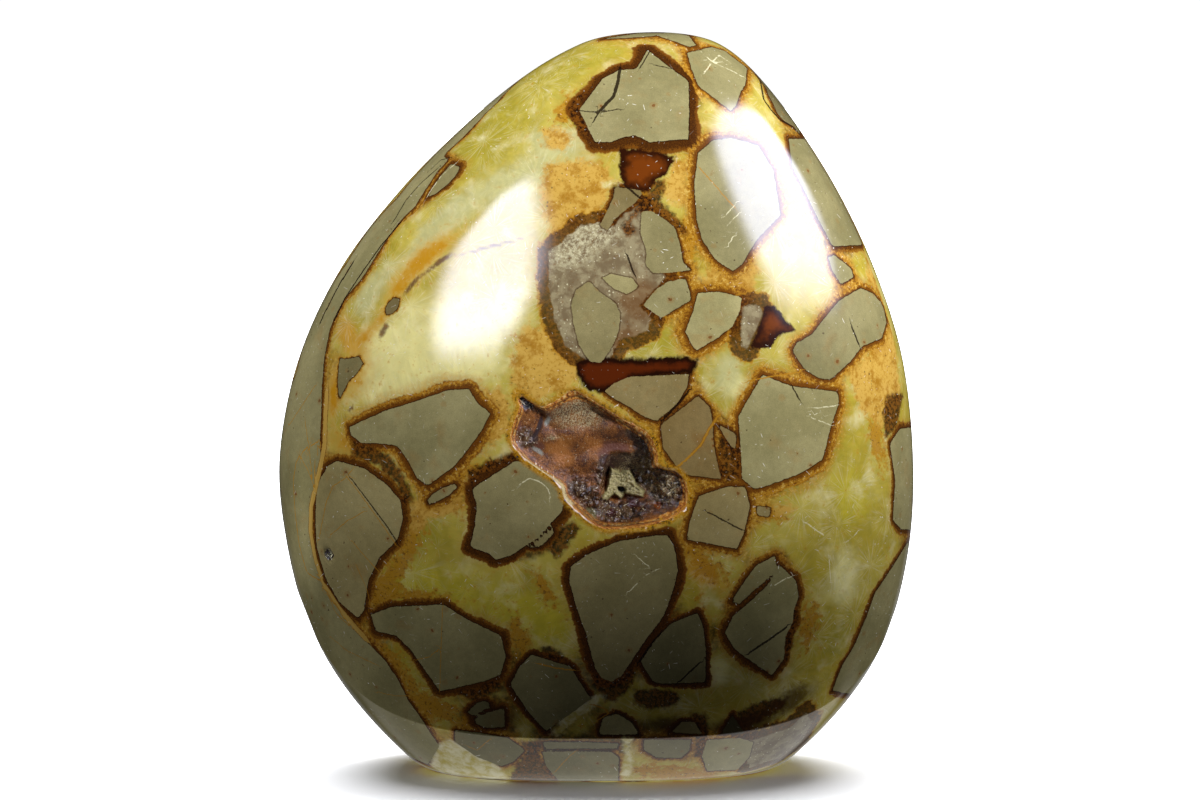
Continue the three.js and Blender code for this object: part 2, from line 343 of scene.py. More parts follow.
# Clasts of mudstone, each drawn as an outline "x,y x,y ..." in that frame. Past the stone's visible edge
# an outline runs on round the side at the same scale. Before it: how light the clast is, how much
# browner than neutral grey, the width of its brown rim in millimetres and how golden that rim is.
clasts = {
    "crown": (1.04, 0.0, 2.0, 0.12, """648,50 668,66 688,81 688,110 687,139 648,142 634,135 620,138 609,142
        594,142 578,110 589,96 602,79 619,70 636,69 643,59"""),
    "capLeft": (1.0, 0.0, 1.2, 0.4, "603,39 640,33 665,33 655,36 627,38"),
    "capRight": (1.1, 0.0, 1.2, 0.5, "658,35 672,31 690,36 697,45 690,47 675,41 662,37"),
    "topRight": (1.04, 0.0, 1.0, 0.8, """688,53 713,47 726,51 748,68 746,83 740,93 735,106 730,111 716,100
        698,86 692,70"""),
    "upperEdge": (0.6, 0.1, 1.2, 0.3, """766,84 769,95 774,104 777,113 784,121 795,127 803,134 830,130 818,108
        800,86 778,70"""),
    "rightEdge": (0.9, 0.0, 1.0, 0.3, """788,139 791,166 803,190 818,220 832,246 861,245 885,243 868,200
        845,160 830,138 808,139"""),
    "glare": (1.02, -0.1, 1.3, 0.6, """697,153 694,184 697,219 703,240 717,260 734,271 743,264 757,240 780,215
        772,170 757,145 730,138 712,140"""),
    "littleRight": (1.05, 0.0, 0.9, 0.6, "828,257 834,255 851,269 853,277 841,284 832,270"),
    "rightPair": (0.95, 0.0, 1.1, 0.6, """860,288 872,293 882,305 886,322 882,338 863,346 851,362 832,379
        822,379 806,370 793,351 798,343 813,334 824,320 839,301"""),
    "middleTop": (1.4, 0.0, 1.5, 0.85, """699,293 720,292 743,297 741,310 734,326 717,339 696,351 686,332
        693,315"""),
    "wedge": (0.76, 0.3, 0.8, 0.3, """614,187 627,188 644,191 635,203 623,212 615,220 608,230 600,226 606,214
        614,196"""),
    "innerUpper": (1.0, 0.05, 0.9, 0.6, """642,211 652,211 665,219 676,228 681,246 684,262 692,270 668,273
        654,273 647,265 647,249 641,233"""),
    "innerLower": (1.03, 0.0, 0.9, 0.7, "687,278 691,293 692,300 662,318 644,305 657,290 668,282"),
    "tongue": (0.95, 0.1, 0.6, 0.5, """590,281 601,292 617,303 621,313 620,330 612,348 601,363 590,362 579,344
        574,322 572,303 577,290"""),
    "sliver": (1.2, 0.05, 0.5, 0.6, "603,278 612,274 633,278 640,287 628,294 615,289"),
    "overHollow": (0.98, 0.3, 1.0, 0.4, """630,377 690,374 687,387 677,404 656,421 644,417 627,406 612,398
        604,391 613,384"""),
    "brownish": (0.86, 0.5, 0.9, 0.5, """698,396 710,408 712,422 713,446 720,479 686,475 677,468 662,448
        660,425"""),
    "brownSliver": (0.84, 0.42, 0.8, 0.4, "718,425 736,434 734,451 725,439"),
    "bigRight": (1.19, 0.0, 1.5, 0.7, """763,375 791,386 839,392 839,405 832,424 822,460 801,473 763,487
        753,489 741,479 740,446 738,417 749,398"""),
    "underRight": (1.2, 0.26, 1.1, 0.5, """725,487 744,487 749,506 743,532 736,549 712,544 686,539 689,520
        698,496"""),
    "tiny": (1.05, 0.3, 0.3, 0.9, "756,506 770,508 768,517 756,515"),
    "rightRim": (1.04, 0.0, 1.0, 0.3, """901,429 891,444 896,480 893,520 901,529 914,530 935,528 940,470
        930,425"""),
    "lowerRightRim": (1.0, 0.0, 1.0, 0.25, """908,543 890,570 874,593 866,615 854,644 841,666 832,690 850,694
        885,665 915,640 940,600 935,545"""),
    "pairLeft": (1.02, 0.05, 0.98, 0.4, "774,556 756,565 744,581 731,601 739,604 755,589 776,570"),
    "pairRight": (1.03, 0.0, 1.2, 0.3, """779,565 795,581 798,596 793,610 792,623 785,636 784,658 772,675
        744,656 734,648 725,632 733,616 747,604 766,586"""),
    "squareLow": (0.68, 0.0, 0.98, 0.15, """697,613 703,626 706,650 706,682 664,684 654,682 641,662 656,639
        670,624 684,618"""),
    "heart": (1.0, 0.1, 1.42, 0.12, """570,567 587,554 618,541 656,535 667,535 674,549 677,570 673,589 664,615
        645,641 630,664 622,676 612,682 602,678 596,668 593,658 586,633 575,603 569,581"""),
    "lowMiddle": (0.8, 0.0, 0.98, 0.1, """532,655 572,667 578,679 592,699 572,714 547,731 530,713 511,685
        520,667"""),
    "leftOfHollow": (1.06, 0.06, 1.5, 0.12, """471,489 484,480 500,470 514,461 524,462 537,471 563,490 561,511
        537,537 511,555 495,560 487,553 469,547 474,526 476,505"""),
    "besideIt": (1.1, 0.15, 0.8, 0.1, "529,547 540,538 551,528 553,533 546,541 538,547"),
    "helmet": (1.03, 0.0, 1.4, 0.5, """350,427 385,411 417,401 448,390 469,389 477,403 490,413 480,432 464,453
        453,466 427,485 417,479 406,458 396,445 375,443 362,443 351,435"""),
    "eye": (1.0, 0.1, 0.9, 0.5, "425,502 432,494 443,487 455,483 456,487 449,494 437,501 428,504"),
    "leftRound": (1.24, 0.16, 1.4, 0.3, """338,461 365,469 386,485 399,500 402,519 396,540 378,558 367,581
        363,610 357,618 338,602 325,579 316,547 315,516 317,485 328,466"""),
    "lowLeft": (1.0, 0.0, 1.19, 0.25, """370,615 391,607 443,605 469,621 501,636 506,657 501,675 485,681
        453,689 440,691 427,673 412,652 396,636 375,631"""),
    "leftSpot": (0.82, 0.1, 0.25, 1.0, """341,358 349,359 360,356 364,364 357,374 349,382 343,394 340,400
        339,378"""),
    "flameSpot": (0.6, 0.3, 0.2, 1.0, "386,311 389,303 395,298 401,299 399,307 394,313 388,315"),
    "rindTop": (1.0, 0.05, 1.1, 0.3, "450,164 459,167 455,175 446,185 434,194 427,197 433,185 442,173"),
    "rind": (1.08, 0.0, 1.0, 0.45, """495,102 485,112 474,126 461,139 449,147 440,153 447,160 436,172 424,190
        414,206 399,221 388,236 379,250 362,278 344,299 334,319 330,331 325,360 323,386 322,417 320,446
        322,460 315,486 311,506 310,532 315,557 323,583 339,607 353,625 364,640 384,660 398,680 408,700
        420,716 431,733 440,746 428,764 380,745 318,700 296,660 238,610 226,560 246,500 214,450 222,405
        262,372 240,330 262,290 300,262 298,228 352,196 372,150 440,96 480,82"""),
    "footOne": (1.35, 0.0, 0.8, 0.2, "604,718 618,714 632,722 640,735 600,735"),
    "footTwo": (0.8, 0.2, 0.8, 0.2, "672,733 683,722 695,722 703,734"),
    "footThree": (0.2, 0.2, 0.8, 0.2, "722,734 733,715 746,734"),
    "footFour": (0.55, 0.0, 0.8, 0.2, "468,712 478,703 487,701 493,706 480,712 474,716"),
    "footFive": (0.65, 0.0, 0.8, 0.2, "480,716 495,711 505,708 506,727 487,728 474,722"),
    "bandTwo": (0.72, 0.0, 0.6, 0.5, "456,730 482,733 509,738 526,750 514,762 502,766 478,757 456,742"),
    "bandThree": (0.6, 0.0, 0.4, 0.1, "544,742 600,743 620,744 618,749 546,749"),
    "bandFour": (0.78, 0.0, 0.5, 0.5, "543,752 612,752 620,758 619,784 562,784 547,766"),
    "bandFive": (0.68, -0.1, 0.8, 0.4, "645,740 692,740 690,751 682,758 658,758 645,750"),
    "bandSix": (1.1, -0.1, 0.5, 0.6, "708,740 740,738 754,742 750,757 738,770 708,771 703,756"),
}

# Filled patches in the same frame, by kind.
patches = {
    "ochre": [
        "545,165 575,160 600,163 612,178 606,205 592,222 572,232 552,240 544,215 541,185",
        "516,345 528,326 548,328 560,340 572,352 588,366 580,380 560,392 540,400 520,396 510,380",
        "412,500 440,496 462,498 464,512 440,516 424,520 416,532 408,528 410,512",
        "676,160 686,161 687,190 691,206 680,204 666,200 662,192 667,178 672,167",
        "736,270 752,262 760,270 752,290 742,296 716,290 700,284 712,268",
        "866,250 880,262 893,300 896,350 902,400 890,430 862,410 848,372 872,350 888,330 882,296 866,280",
        "775,506 788,504 794,510 786,516 776,514",
        "541,128 560,128 570,140 562,152 546,148",
        "484,392 500,388 512,400 508,430 492,444 484,438 492,420",
    ],
    "red": [
        "577,362 590,359 640,360 687,358 697,362 690,373 660,375 634,378 614,388 600,392 588,388 579,378",
    ],
    "amber": [
        "765,306 775,306 796,330 780,335 772,347 750,350 765,315",
        "619,149 636,149 654,152 675,157 671,162 666,174 657,179 649,191 642,190 627,188 622,182 619,167",
    ],
    "beige": [
        """549,252 560,244 582,225 601,222 612,228 625,214 640,205 646,232 652,262 668,276 655,290 640,306
            652,318 649,330 634,337 620,340 606,366 588,362 566,346 555,319 550,285""",
        "744,306 760,304 764,314 757,330 748,350 742,346 742,322",
        "742,742 760,738 790,728 806,712 812,722 800,744 780,758 750,768",
    ],
    "brown": [
        "565,112 574,96 588,88 578,110 590,136 580,134",
        """656,179 664,178 664,192 660,200 668,206 680,220 690,234 683,236 672,222 655,212 640,213 634,222
            637,234 628,238 622,228 630,214 640,203 648,193""",
        "716,433 740,446 742,478 726,482 718,478",
        "596,672 612,680 624,672 640,664 630,690 616,702 604,700 592,684",
        "536,650 548,646 560,651 570,661 562,664 545,657",
        "790,600 798,602 796,625 790,650 782,672 784,640",
        "466,470 490,458 516,450 520,458 500,466 480,476 468,486",
        "888,395 905,392 898,428 886,440 884,410",
        "520,741 545,741 541,752 548,766 562,784 508,784 516,764 528,752",
        "690,712 709,714 709,738 704,757 694,757 697,738",
        "634,690 660,688 684,694 676,706 650,711 636,704",
        "738,712 764,700 789,696 784,708 760,722 742,730",
        "352,440 372,446 392,458 404,478 414,500 404,506 396,484 378,466 352,456",
        "470,700 452,690 474,688 498,680 506,690 480,698",
        "546,548 560,528 570,520 580,528 566,548 556,560",
    ],
    "pale": [
        "440,744 450,739 466,747 486,757 502,768 510,784 470,784 446,776 430,764",
        "606,696 598,706 578,718 562,735 552,735 566,714 586,702 600,694",
        "601,183 610,181 619,184 612,187 603,187",
        "624,738 633,738 629,750 634,762 631,776 622,776 625,757",
    ],
}

# Thin lines in the same frame: half width in millimetres, then the points.
threads = {
    "gold": [
        (0.62, """328,390 326,420 325,445 321,465 316,485 311,506 310,532 314,557 322,583 338,608 354,627
            366,640"""),
        (0.22, "640,772 665,766 690,769 712,777"),
        (0.12, "318,442 305,450 297,462 294,480 295,510 299,545 306,572 314,578 322,581"),
        (0.08, "345,475 360,495 378,520 395,545"),
        (0.08, "318,540 325,505 332,487 345,478 352,470"),
        (0.07, "330,535 345,522 362,512"),
        (0.07, "350,540 365,558 378,572"),
        (0.06, "355,565 366,590 370,608"),
        (0.08, "287,430 300,410 316,386"),
        (0.08, "306,420 310,450 313,485"),
        (0.07, "300,455 308,470 314,486"),
        (0.06, "442,607 441,650 440,690"),
        (0.06, "417,660 430,657 440,648"),
        (0.07, "330,637 345,650 376,665"),
        (0.06, "378,692 395,696 410,696"),
        (0.10, "699,168 717,188 735,208"),
        (0.26, "717,417 708,430 700,445 690,455 677,467"),
        (0.12, "748,381 775,376 800,372"),
        (0.12, "690,455 672,470"),
        (0.10, "760,497 800,483 826,466"),
        (0.14, "540,664 556,668 572,670"),
        (0.10, "340,612 330,600 326,592 334,612 348,626"),
        (0.12, "595,705 612,712 600,720"),
        (0.08, "490,740 478,750 468,746"),
        (0.08, "556,772 570,757 576,752"),
    ],
    "dark": [
        (0.40, "345,262 336,278 330,292 324,308 320,322"),
        (0.22, "400,222 380,246 362,272 345,298 335,320"),
        (0.34, "620,68 618,80 613,96 605,104 598,112"),
        (0.16, "598,112 592,122"),
        (0.10, "579,111 600,112 618,109"),
        (0.12, "650,52 640,68"),
        (0.10, "655,65 668,68"),
        (0.26, "759,71 762,85 764,100 772,111 780,120 790,125 801,135"),
        (0.20, "628,188 640,198"),
        (0.16, "628,255 632,266 636,276"),
        (0.20, "852,325 860,345"),
        (0.12, "350,478 365,498 385,525 398,545"),
        (0.14, "707,512 722,520 741,530"),
        (0.22, "664,418 676,406 688,392"),
        (0.16, "680,682 700,663"),
        (0.22, "750,652 768,640 786,627"),
        (0.16, "437,168 420,183 405,200 392,222"),
        (0.12, "430,168 440,160 450,157"),
        (0.18, "640,661 650,646 660,634"),
        (0.14, "792,386 800,400"),
    ],
    "white": [
        (0.10, "455,163 440,176 430,190 425,199"),
        (0.10, "515,487 528,478 540,482 548,490 549,497"),
        (0.10, "630,590 645,575 655,570"),
        (0.08, "637,557 648,566"),
        (0.14, "700,50 713,62 720,55 727,60"),
        (0.12, "705,72 713,62 735,72 742,76"),
        (0.10, "815,408 835,406"),
        (0.08, "812,418 830,425"),
        (0.12, "805,523 825,537"),
        (0.08, "828,560 830,585"),
        (0.12, "848,540 856,533"),
        (0.08, "735,204 726,215"),
        (0.07, "727,226 738,214"),
        (0.10, "730,243 733,238"),
        (0.10, "776,584 784,579 790,577"),
    ],
}

# Soft ovals in the same frame: middle x and y, half length, half width, turn in degrees.
clouds = {
    "deepCalcite": [(428, 536, 18, 14, 0), (480, 130, 80, 45, -40), (735, 372, 24, 26, 0),
        (826, 444, 26, 24, 60), (650, 340, 50, 20, 0), (842, 640, 18, 30, 20), (370, 255, 40, 20, -50),
        (590, 60, 45, 14, -25)],
    "paleCalcite": [(460, 345, 80, 40, -35), (395, 345, 46, 30, -40), (425, 380, 60, 20, -15),
        (842, 580, 15, 28, 10), (715, 672, 22, 14, 0), (738, 385, 12, 14, 0)],
    "honeyCalcite": [(425, 585, 60, 24, 8), (545, 622, 64, 26, 25), (420, 398, 48, 6, -15),
        (850, 500, 20, 30, 0)],
    "goldCalcite": [(352, 340, 12, 28, -20), (680, 640, 16, 26, 0), (826, 428, 20, 12, 0),
        (702, 572, 30, 14, 40)],
    "flameCloud": [(440, 246, 27, 11, -34), (418, 266, 21, 11, -48), (398, 289, 17, 10, -55),
        (384, 316, 13, 6, -58), (366, 336, 15, 7, -40), (354, 376, 30, 18, -68), (334, 400, 26, 5, -86),
        (350, 445, 26, 12, 20)],
    "crumbCloud": [(566, 110, 10, 20, 30), (740, 60, 12, 6, 60), (878, 440, 34, 8, 80), (545, 590, 24, 7, 60),
        (705, 562, 32, 12, 42), (700, 640, 8, 40, 0), (520, 640, 10, 30, -20), (808, 625, 10, 26, 8),
        (776, 516, 14, 9, 0), (405, 550, 46, 12, -64), (378, 590, 20, 12, -40), (415, 596, 40, 7, 2),
        (690, 240, 8, 30, 0), (394, 668, 40, 13, 52), (438, 710, 32, 12, 20), (446, 505, 26, 10, 0),
        (470, 470, 26, 7, -20), (678, 774, 60, 10, 6)],
    "flameCore": [(494, 246, 42, 2.6, -15), (438, 264, 22, 3.0, -38), (411, 287, 15, 2.6, -52),
        (385, 330, 11, 4, -60), (352, 408, 6, 3, -50)],
    # Darker brown ovals near the bottom, partly the stone's brown and partly painted shade on the lower
    # front.
    "shadeCloud": [(745, 725, 26, 13, -10), (790, 700, 34, 14, -30), (500, 715, 24, 14, 20),
        (670, 725, 40, 10, 0)],
    # A painted highlight: pale haze along the softbox highlights, mostly the left one.
    "hazeCalcite": [(728, 372, 18, 20, 0), (520, 178, 60, 20, -32), (440, 225, 46, 13, -46),
        (372, 292, 30, 12, -52), (560, 140, 30, 12, 0)],
    "lightEdge": [(304, 520, 14, 78, 3)],
    "whiteCloud": [(575, 250, 30, 18, -20), (600, 232, 20, 10, 0)],
    "brownCloud": [(640, 300, 24, 26, 0), (625, 340, 24, 12, 0), (600, 372, 16, 10, 0)],
}


farAway = 9.0  # distance in millimetres that stands for nowhere near
plainLook = (1.0, 0.1, 1.2, 0.5)  # lightness, warmth, rim and gold where no clast is near


# The points of a drawn outline or line.
def readOutline(text):
    return np.array([[float(n) for n in pair.split(",")] for pair in text.split()])


# Distance in millimetres from each point to a drawn line, by the frame's own scale there on the
# stone, then the way to the nearest place on it, in the frame, and the side it lies on.
def lineDistance(spots, scale, corners):
    best = np.full(len(spots), 1e9)
    foot = np.zeros((len(spots), 2))
    side = np.zeros(len(spots))
    for start, end in zip(corners[:-1], corners[1:]):
        a = np.einsum("nij,nj->ni", scale, start - spots)
        b = np.einsum("nij,nj->ni", scale, end - spots)
        edge = b - a
        t = np.clip(-(a * edge).sum(1) / np.maximum((edge ** 2).sum(1), 1e-9), 0, 1)
        distance = np.linalg.norm(a + edge * t[:, None], axis=1)
        closer = distance < best
        best = np.where(closer, distance, best)
        foot[closer] = (start + (end - start) * t[:, None] - spots)[closer]
        cross = edge[:, 0] * -a[:, 1] + edge[:, 1] * a[:, 0]
        side = np.where(closer, np.sign(cross), side)
    return best, foot, side


# Even-odd rule: inside where a ray to the right crosses the outline an odd number of times.
def insideOutline(spots, corners):
    inside = np.zeros(len(spots), bool)
    x, y = spots.T
    for (x0, y0), (x1, y1) in zip(corners, np.roll(corners, -1, axis=0)):
        if y0 != y1:
            crosses = ((y0 > y) != (y1 > y)) & (x < (x1 - x0) * (y - y0) / (y1 - y0) + x0)
            inside ^= crosses
    return inside


# Spots within the outline's box, grown by a margin.
def nearOutline(spots, corners, margin):
    low, high = corners.min(0) - margin, corners.max(0) + margin
    return ((spots > low) & (spots < high)).all(1)


# Signed distance to a closed outline, positive inside, and the way to its edge.
def outlineField(spots, scale, text, margin=70):
    corners = readOutline(text)
    near = nearOutline(spots, corners, margin)
    field = np.full(len(spots), -farAway)
    foot = np.zeros((len(spots), 2))
    loop = np.vstack([corners, corners[:1]])
    distance, way, _ = lineDistance(spots[near], scale[near], loop)
    field[near] = np.where(insideOutline(spots[near], corners), distance, -distance)
    foot[near] = way
    return field, foot


# A bell over a turned oval: e^-(along^2 + across^2), both measured in half sizes.
def ovalField(spots, oval):
    x, y, long, wide, turn = oval
    c, s = math.cos(math.radians(turn)), math.sin(math.radians(turn))
    along = ((spots[:, 0] - x) * c + (spots[:, 1] - y) * s) / long
    across = ((spots[:, 1] - y) * c - (spots[:, 0] - x) * s) / wide
    return np.exp(-(along ** 2 + across ** 2))


# A smooth wavy field from -1 to 1: the mean of sine waves in scattered directions.
def waves(points, length, seed, count=7):
    rng = np.random.default_rng(seed)
    total = np.zeros(len(points))
    for _ in range(count):
        way = rng.normal(size=3)
        way *= 2 * math.pi / (length * rng.uniform(0.7, 1.4) * np.linalg.norm(way))
        total += np.sin(points @ way + rng.uniform(0, 2 * math.pi))
    return total / math.sqrt(count)


# From 0 at low to 1 at high, with soft ends.
def ease(values, low, high):
    t = np.clip((values - low) / (high - low), 0, 1)
    return t * t * (3 - 2 * t)


# Places in the frame for the whole grid. Past the visible edge they run on by length.
def frameOfRings(rings):
    spots = toFrame(rings)
    steps = np.linalg.norm(np.roll(rings, -1, axis=1) - rings, axis=2)
    walk = np.concatenate([np.zeros((len(rings), 1)), np.cumsum(steps, axis=1)[:, :-1]], axis=1)
    scale = view["focal"] / view["distance"]
    x = spots[..., 0].copy()
    front = np.arange(len(rings))
    for edge, sign in ((x.argmin(1), -1), (x.argmax(1), 1)):
        limit, start = x[front, edge][:, None], walk[front, edge][:, None]
        beyond = (walk - start) * sign > 0
        passed = beyond & (rings[..., 1] > rings[front, edge, 1][:, None])
        x = np.where(passed, limit + (walk - start) * scale, x)
    spots[..., 0] = x
    return spots


# The 2 by 2 matrix that turns a small way in the frame into millimetres on the stone: the root of
# the surface's metric seen through the frame, kept within limits near the edge. Also the same
# way in space.
def frameScale(rings, spots):
    rowSpots, columnSpots = gridDerivatives(spots)
    rowWay, columnWay = gridDerivatives(rings)
    toSpots = np.stack([rowSpots, columnSpots], -1).reshape(-1, 2, 2)
    ways = np.stack([rowWay, columnWay], -1).reshape(-1, 3, 2)
    flat = np.abs(np.linalg.det(toSpots)) < 1e-6
    toSpots[flat] = np.eye(2) * 3  # a plain scale where the surface is seen edge on
    lift = ways @ np.linalg.inv(toSpots)
    values, vectors = np.linalg.eigh(np.einsum("nki,nkj->nij", lift, lift))
    values = np.clip(np.sqrt(np.maximum(values, 0)), *view["scaleLimits"])
    return np.einsum("nik,nk,njk->nij", vectors, values, vectors), lift


# Sides and back: straight-sided cells in place of drawn outlines. Waves are size, length and seed.
farSide = {
    "seed": 23,
    "candidates": 4000,
    "spacing": 15.0,
    "unevenness": (0.75, 1.6),  # of the spacing
    "calciteShare": 0.3,
    "veinHalf": 1.7,
    "veinWaves": (0.75, 34, 5),
    "veinExtra": 0.5,
    "veinLeast": 0.45,
    "openGap": 12.0,  # what counts as the width of a vein that opens into calcite
    "toneSpread": 0.14,
    "warmMost": 0.3,
    "goldMost": 0.9,
    "rim": 1.3,
    "border": 11.5,  # y where the drawn front gives way to these cells
    "borderWaves": ((4.4, 34, 3), (1.4, 9, 4)),
    "overlap": 6,  # cells start this far in front of the border
    "joint": 0.3,  # half the vein that keeps drawn clasts and cells apart
    "cutHalf": (36.8, 22.5),  # half width and depth of the cut below, which has cells as well
    "cutSlope": 25,  # millimetres from its edge to its middle
    "cutEdge": 1.0,
    "blend": 6.0,  # the clouds of colour change over this far to either side of the border
    "cloudWaves": (0.6, 44, {"deepCalcite": 8, "paleCalcite": 18, "honeyCalcite": 28, "goldCalcite": 38}),
    "cloudLevel": 0.15,
    "ochreWaves": (2.2, 24, 9),
    "ochreLevel": -3.4,
    "threads": 7,
    "threadHalf": 0.12,
    "threadWaves": (1.6, 22),
    "threadBreaks": (30, 0.1),  # length of the waves that break them up, and their level
    "threadReach": 1.6,
}


# Middles of the cells: random places are kept where none kept before is nearer than the spacing.
def scatterSeeds(points, allowed):
    rng = np.random.default_rng(farSide["seed"])
    candidates = points[rng.choice(np.flatnonzero(allowed), farSide["candidates"])]
    chosen = [candidates[0]]
    for point in candidates:
        nearest = np.linalg.norm(np.array(chosen) - point, axis=1).min()
        if nearest > farSide["spacing"] * rng.uniform(*farSide["unevenness"]):
            chosen.append(point)
    return np.array(chosen), rng


# How far each point is from the plane halfway to the next seed, less half the vein. Also the clast's
# lightness, warmth and gold, the vein's width and the way to the clast's edge.
def cellField(points, allowed):
    seeds, rng = scatterSeeds(points, allowed)
    away = np.linalg.norm(points[:, None] - seeds[None], axis=2)
    own = away.argmin(1)
    ownAway = away[np.arange(len(points)), own]
    gaps = np.linalg.norm(seeds[own][:, None] - seeds[None], axis=2)
    halves = (away ** 2 - ownAway[:, None] ** 2) / np.maximum(2 * gaps, 1e-6)
    halves[np.arange(len(points)), own] = 1e9
    following = halves.argmin(1)
    distance = halves[np.arange(len(points)), following]
    size, length, seed = farSide["veinWaves"]
    vein = farSide["veinHalf"] * (1 + size * waves(points, length, seed)) + farSide["veinExtra"]
    narrow = np.maximum(vein, farSide["veinLeast"])
    isCalcite = rng.uniform(size=len(seeds)) < farSide["calciteShare"]
    field = np.where(isCalcite[own], -distance - vein, distance - narrow)
    tone = 1 + farSide["toneSpread"] * (rng.uniform(size=len(seeds)) - 0.5)
    warm = farSide["warmMost"] * rng.uniform(size=len(seeds)) ** 2
    gold = rng.uniform(size=len(seeds)) ** 1.5 * farSide["goldMost"]
    toNext = seeds[following] - seeds[own]
    toNext /= np.linalg.norm(toNext, axis=1, keepdims=True)
    foot = toNext * distance[:, None]
    gap = np.where(isCalcite[own] | isCalcite[following], farSide["openGap"], 2 * narrow)
    return field, tone[own], warm[own], gold[own], gap, foot


# Hairlines of the sides and back, where wavy planes cut the surface. Returns the signed distance
# from the nearest and its half width, nought where it is broken off.
def farThreads(points, seed):
    rng = np.random.default_rng(seed)
    best = np.full(len(points), farAway)
    size, length = farSide["threadWaves"]
    breakLength, level = farSide["threadBreaks"]
    for _ in range(farSide["threads"]):
        way = rng.normal(size=3)
        way /= np.linalg.norm(way)
        through = points[rng.integers(len(points))]
        signed = (points - through) @ way + size * waves(points, length, int(rng.integers(999)))
        best = np.where(np.abs(signed) < np.abs(best), signed, best)
    kept = waves(points, breakLength, seed + 1) > level
    return best, np.where((np.abs(best) < farSide["threadReach"]) & kept, farSide["threadHalf"], 0.0)


# The same for the drawn lines, each with its own half width.
def threadField(spots, scale, lines, margin=12, reach=1.4):
    best = np.full(len(spots), farAway)
    half = np.zeros(len(spots))
    for width, text in lines:
        corners = readOutline(text)
        near = np.flatnonzero(nearOutline(spots, corners, margin))
        distance, _, side = lineDistance(spots[near], scale[near], corners)
        closer = distance < np.abs(best[near])
        best[near[closer]] = (distance * side)[closer]
        half[near[closer]] = np.where(distance < reach, width, 0)[closer]
    return best, half


# Everything that the stone's material reads, for every point of the grid. Clasts, patches and
# threads are signed distances in millimetres, clouds are shares. The border is the distance to
# where the drawn front ends, positive in front.
def markStone(rings, hollowDistance, poreDistance):
    points = rings.reshape(-1, 3)
    frameSpots = frameOfRings(rings)
    scale, lift = frameScale(rings, frameSpots)
    spots = frameSpots.reshape(-1, 2)
    total = len(points)
    field = np.full(total, -farAway)
    second = np.full(total, -farAway)
    foot = np.zeros((total, 2))
    style = np.tile(plainLook, (total, 1))
    for *look, outline in clasts.values():
        own, way = outlineField(spots, scale, outline)
        second = np.maximum(second, np.minimum(own, field))
        closer = own > field
        field[closer], foot[closer] = own[closer], way[closer]
        style[closer] = look
    foot = np.einsum("nij,nj->ni", lift, foot)
    border = farSide["border"] - points[:, 1]
    for size, length, seed in farSide["borderWaves"]:
        border += size * waves(points, length, seed)
    onCut = points[:, 2] < 0.01
    fromMiddle = (points - [nodule["base"]["centreX"], 0, 0]) / [*farSide["cutHalf"], 1]
    inward = 1 - np.linalg.norm(fromMiddle, axis=1)
    border = np.where(onCut, -inward * farSide["cutSlope"] + farSide["cutEdge"], border)
    farField, farTone, farWarm, farGold, farGap, farFoot = cellField(points, border < farSide["overlap"])
    joint = farSide["joint"]
    blended = np.maximum(np.minimum(field, border - joint), np.minimum(farField, -border - joint))
    useFar = border < 0
    nearest, field = field, blended
    foot = np.where(useFar[:, None], farFoot, foot)
    style[useFar] = np.stack([farTone, farWarm, np.full(total, farSide["rim"]), farGold], -1)[useFar]
    gap = np.where(useFar, farGap, -nearest - second)
    marks = {"clast": field, "foot": foot, "style": style[:, :3], "gold": style[:, 3], "gap": gap}
    for kind, outlines in patches.items():
        own = np.full(total, -farAway)
        for text in outlines:
            own = np.maximum(own, outlineField(spots, scale, text, margin=40)[0])
        marks[kind] = np.minimum(own, border)
    for kind, lines in threads.items():
        signed, half = threadField(spots, scale, lines)
        if kind != "white":
            farSigned, farHalf = farThreads(points, 40 + len(kind))
            signed = np.where(useFar, farSigned, signed)
            half = np.where(useFar, farHalf, half)
        marks[kind + "Thread"] = np.stack([signed, half, np.zeros(total)], -1)
    back = ease(border, farSide["blend"], -farSide["blend"])  # 1 on the far side
    for kind, ovals in clouds.items():
        marks[kind] = (1 - back) * sum(ovalField(spots, oval) for oval in ovals)
    size, length, seeds = farSide["cloudWaves"]
    for kind, seed in seeds.items():
        marks[kind] += back * (farSide["cloudLevel"] + size * waves(points, length, seed))
    size, length, seed = farSide["ochreWaves"]
    farOchre = size * waves(points, length, seed) + farSide["ochreLevel"]
    marks["ochre"] = np.maximum(marks["ochre"], np.minimum(farOchre, -border))
    marks["rimDistance"] = hollowDistance.reshape(-1)
    marks["poreDistance"] = poreDistance.reshape(-1)
    return marks


# Numbers, or vectors, kept on the mesh at each point under a name.
def setAttribute(mesh, name, values):
    values = np.asarray(values, np.float32)
    kind = "FLOAT_VECTOR" if values.ndim == 2 else "FLOAT"
    made = mesh.attributes.new(name, kind, "POINT")
    made.data.foreach_set("vector" if values.ndim == 2 else "value", values.ravel())


# A mesh in metres from points in millimetres, with its texture places in the layer for baking.
def makeMesh(name, points, faces, loopUv):
    mesh = bpy.data.meshes.new(name)
    mesh.from_pydata(points / 1000, [], faces)
    layer = mesh.uv_layers.new(name="OFBake")
    layer.data.foreach_set("uv", loopUv.astype(np.float32).ravel())
    mesh.shade_smooth()
    piece = bpy.data.objects.new(name, mesh)
    bpy.context.scene.collection.objects.link(piece)
    return piece


# Texture places of faces, u and v in turn for each corner.
def cornerUv(*columns):
    return np.stack(np.broadcast_arrays(*columns), -1).reshape(-1, 2)


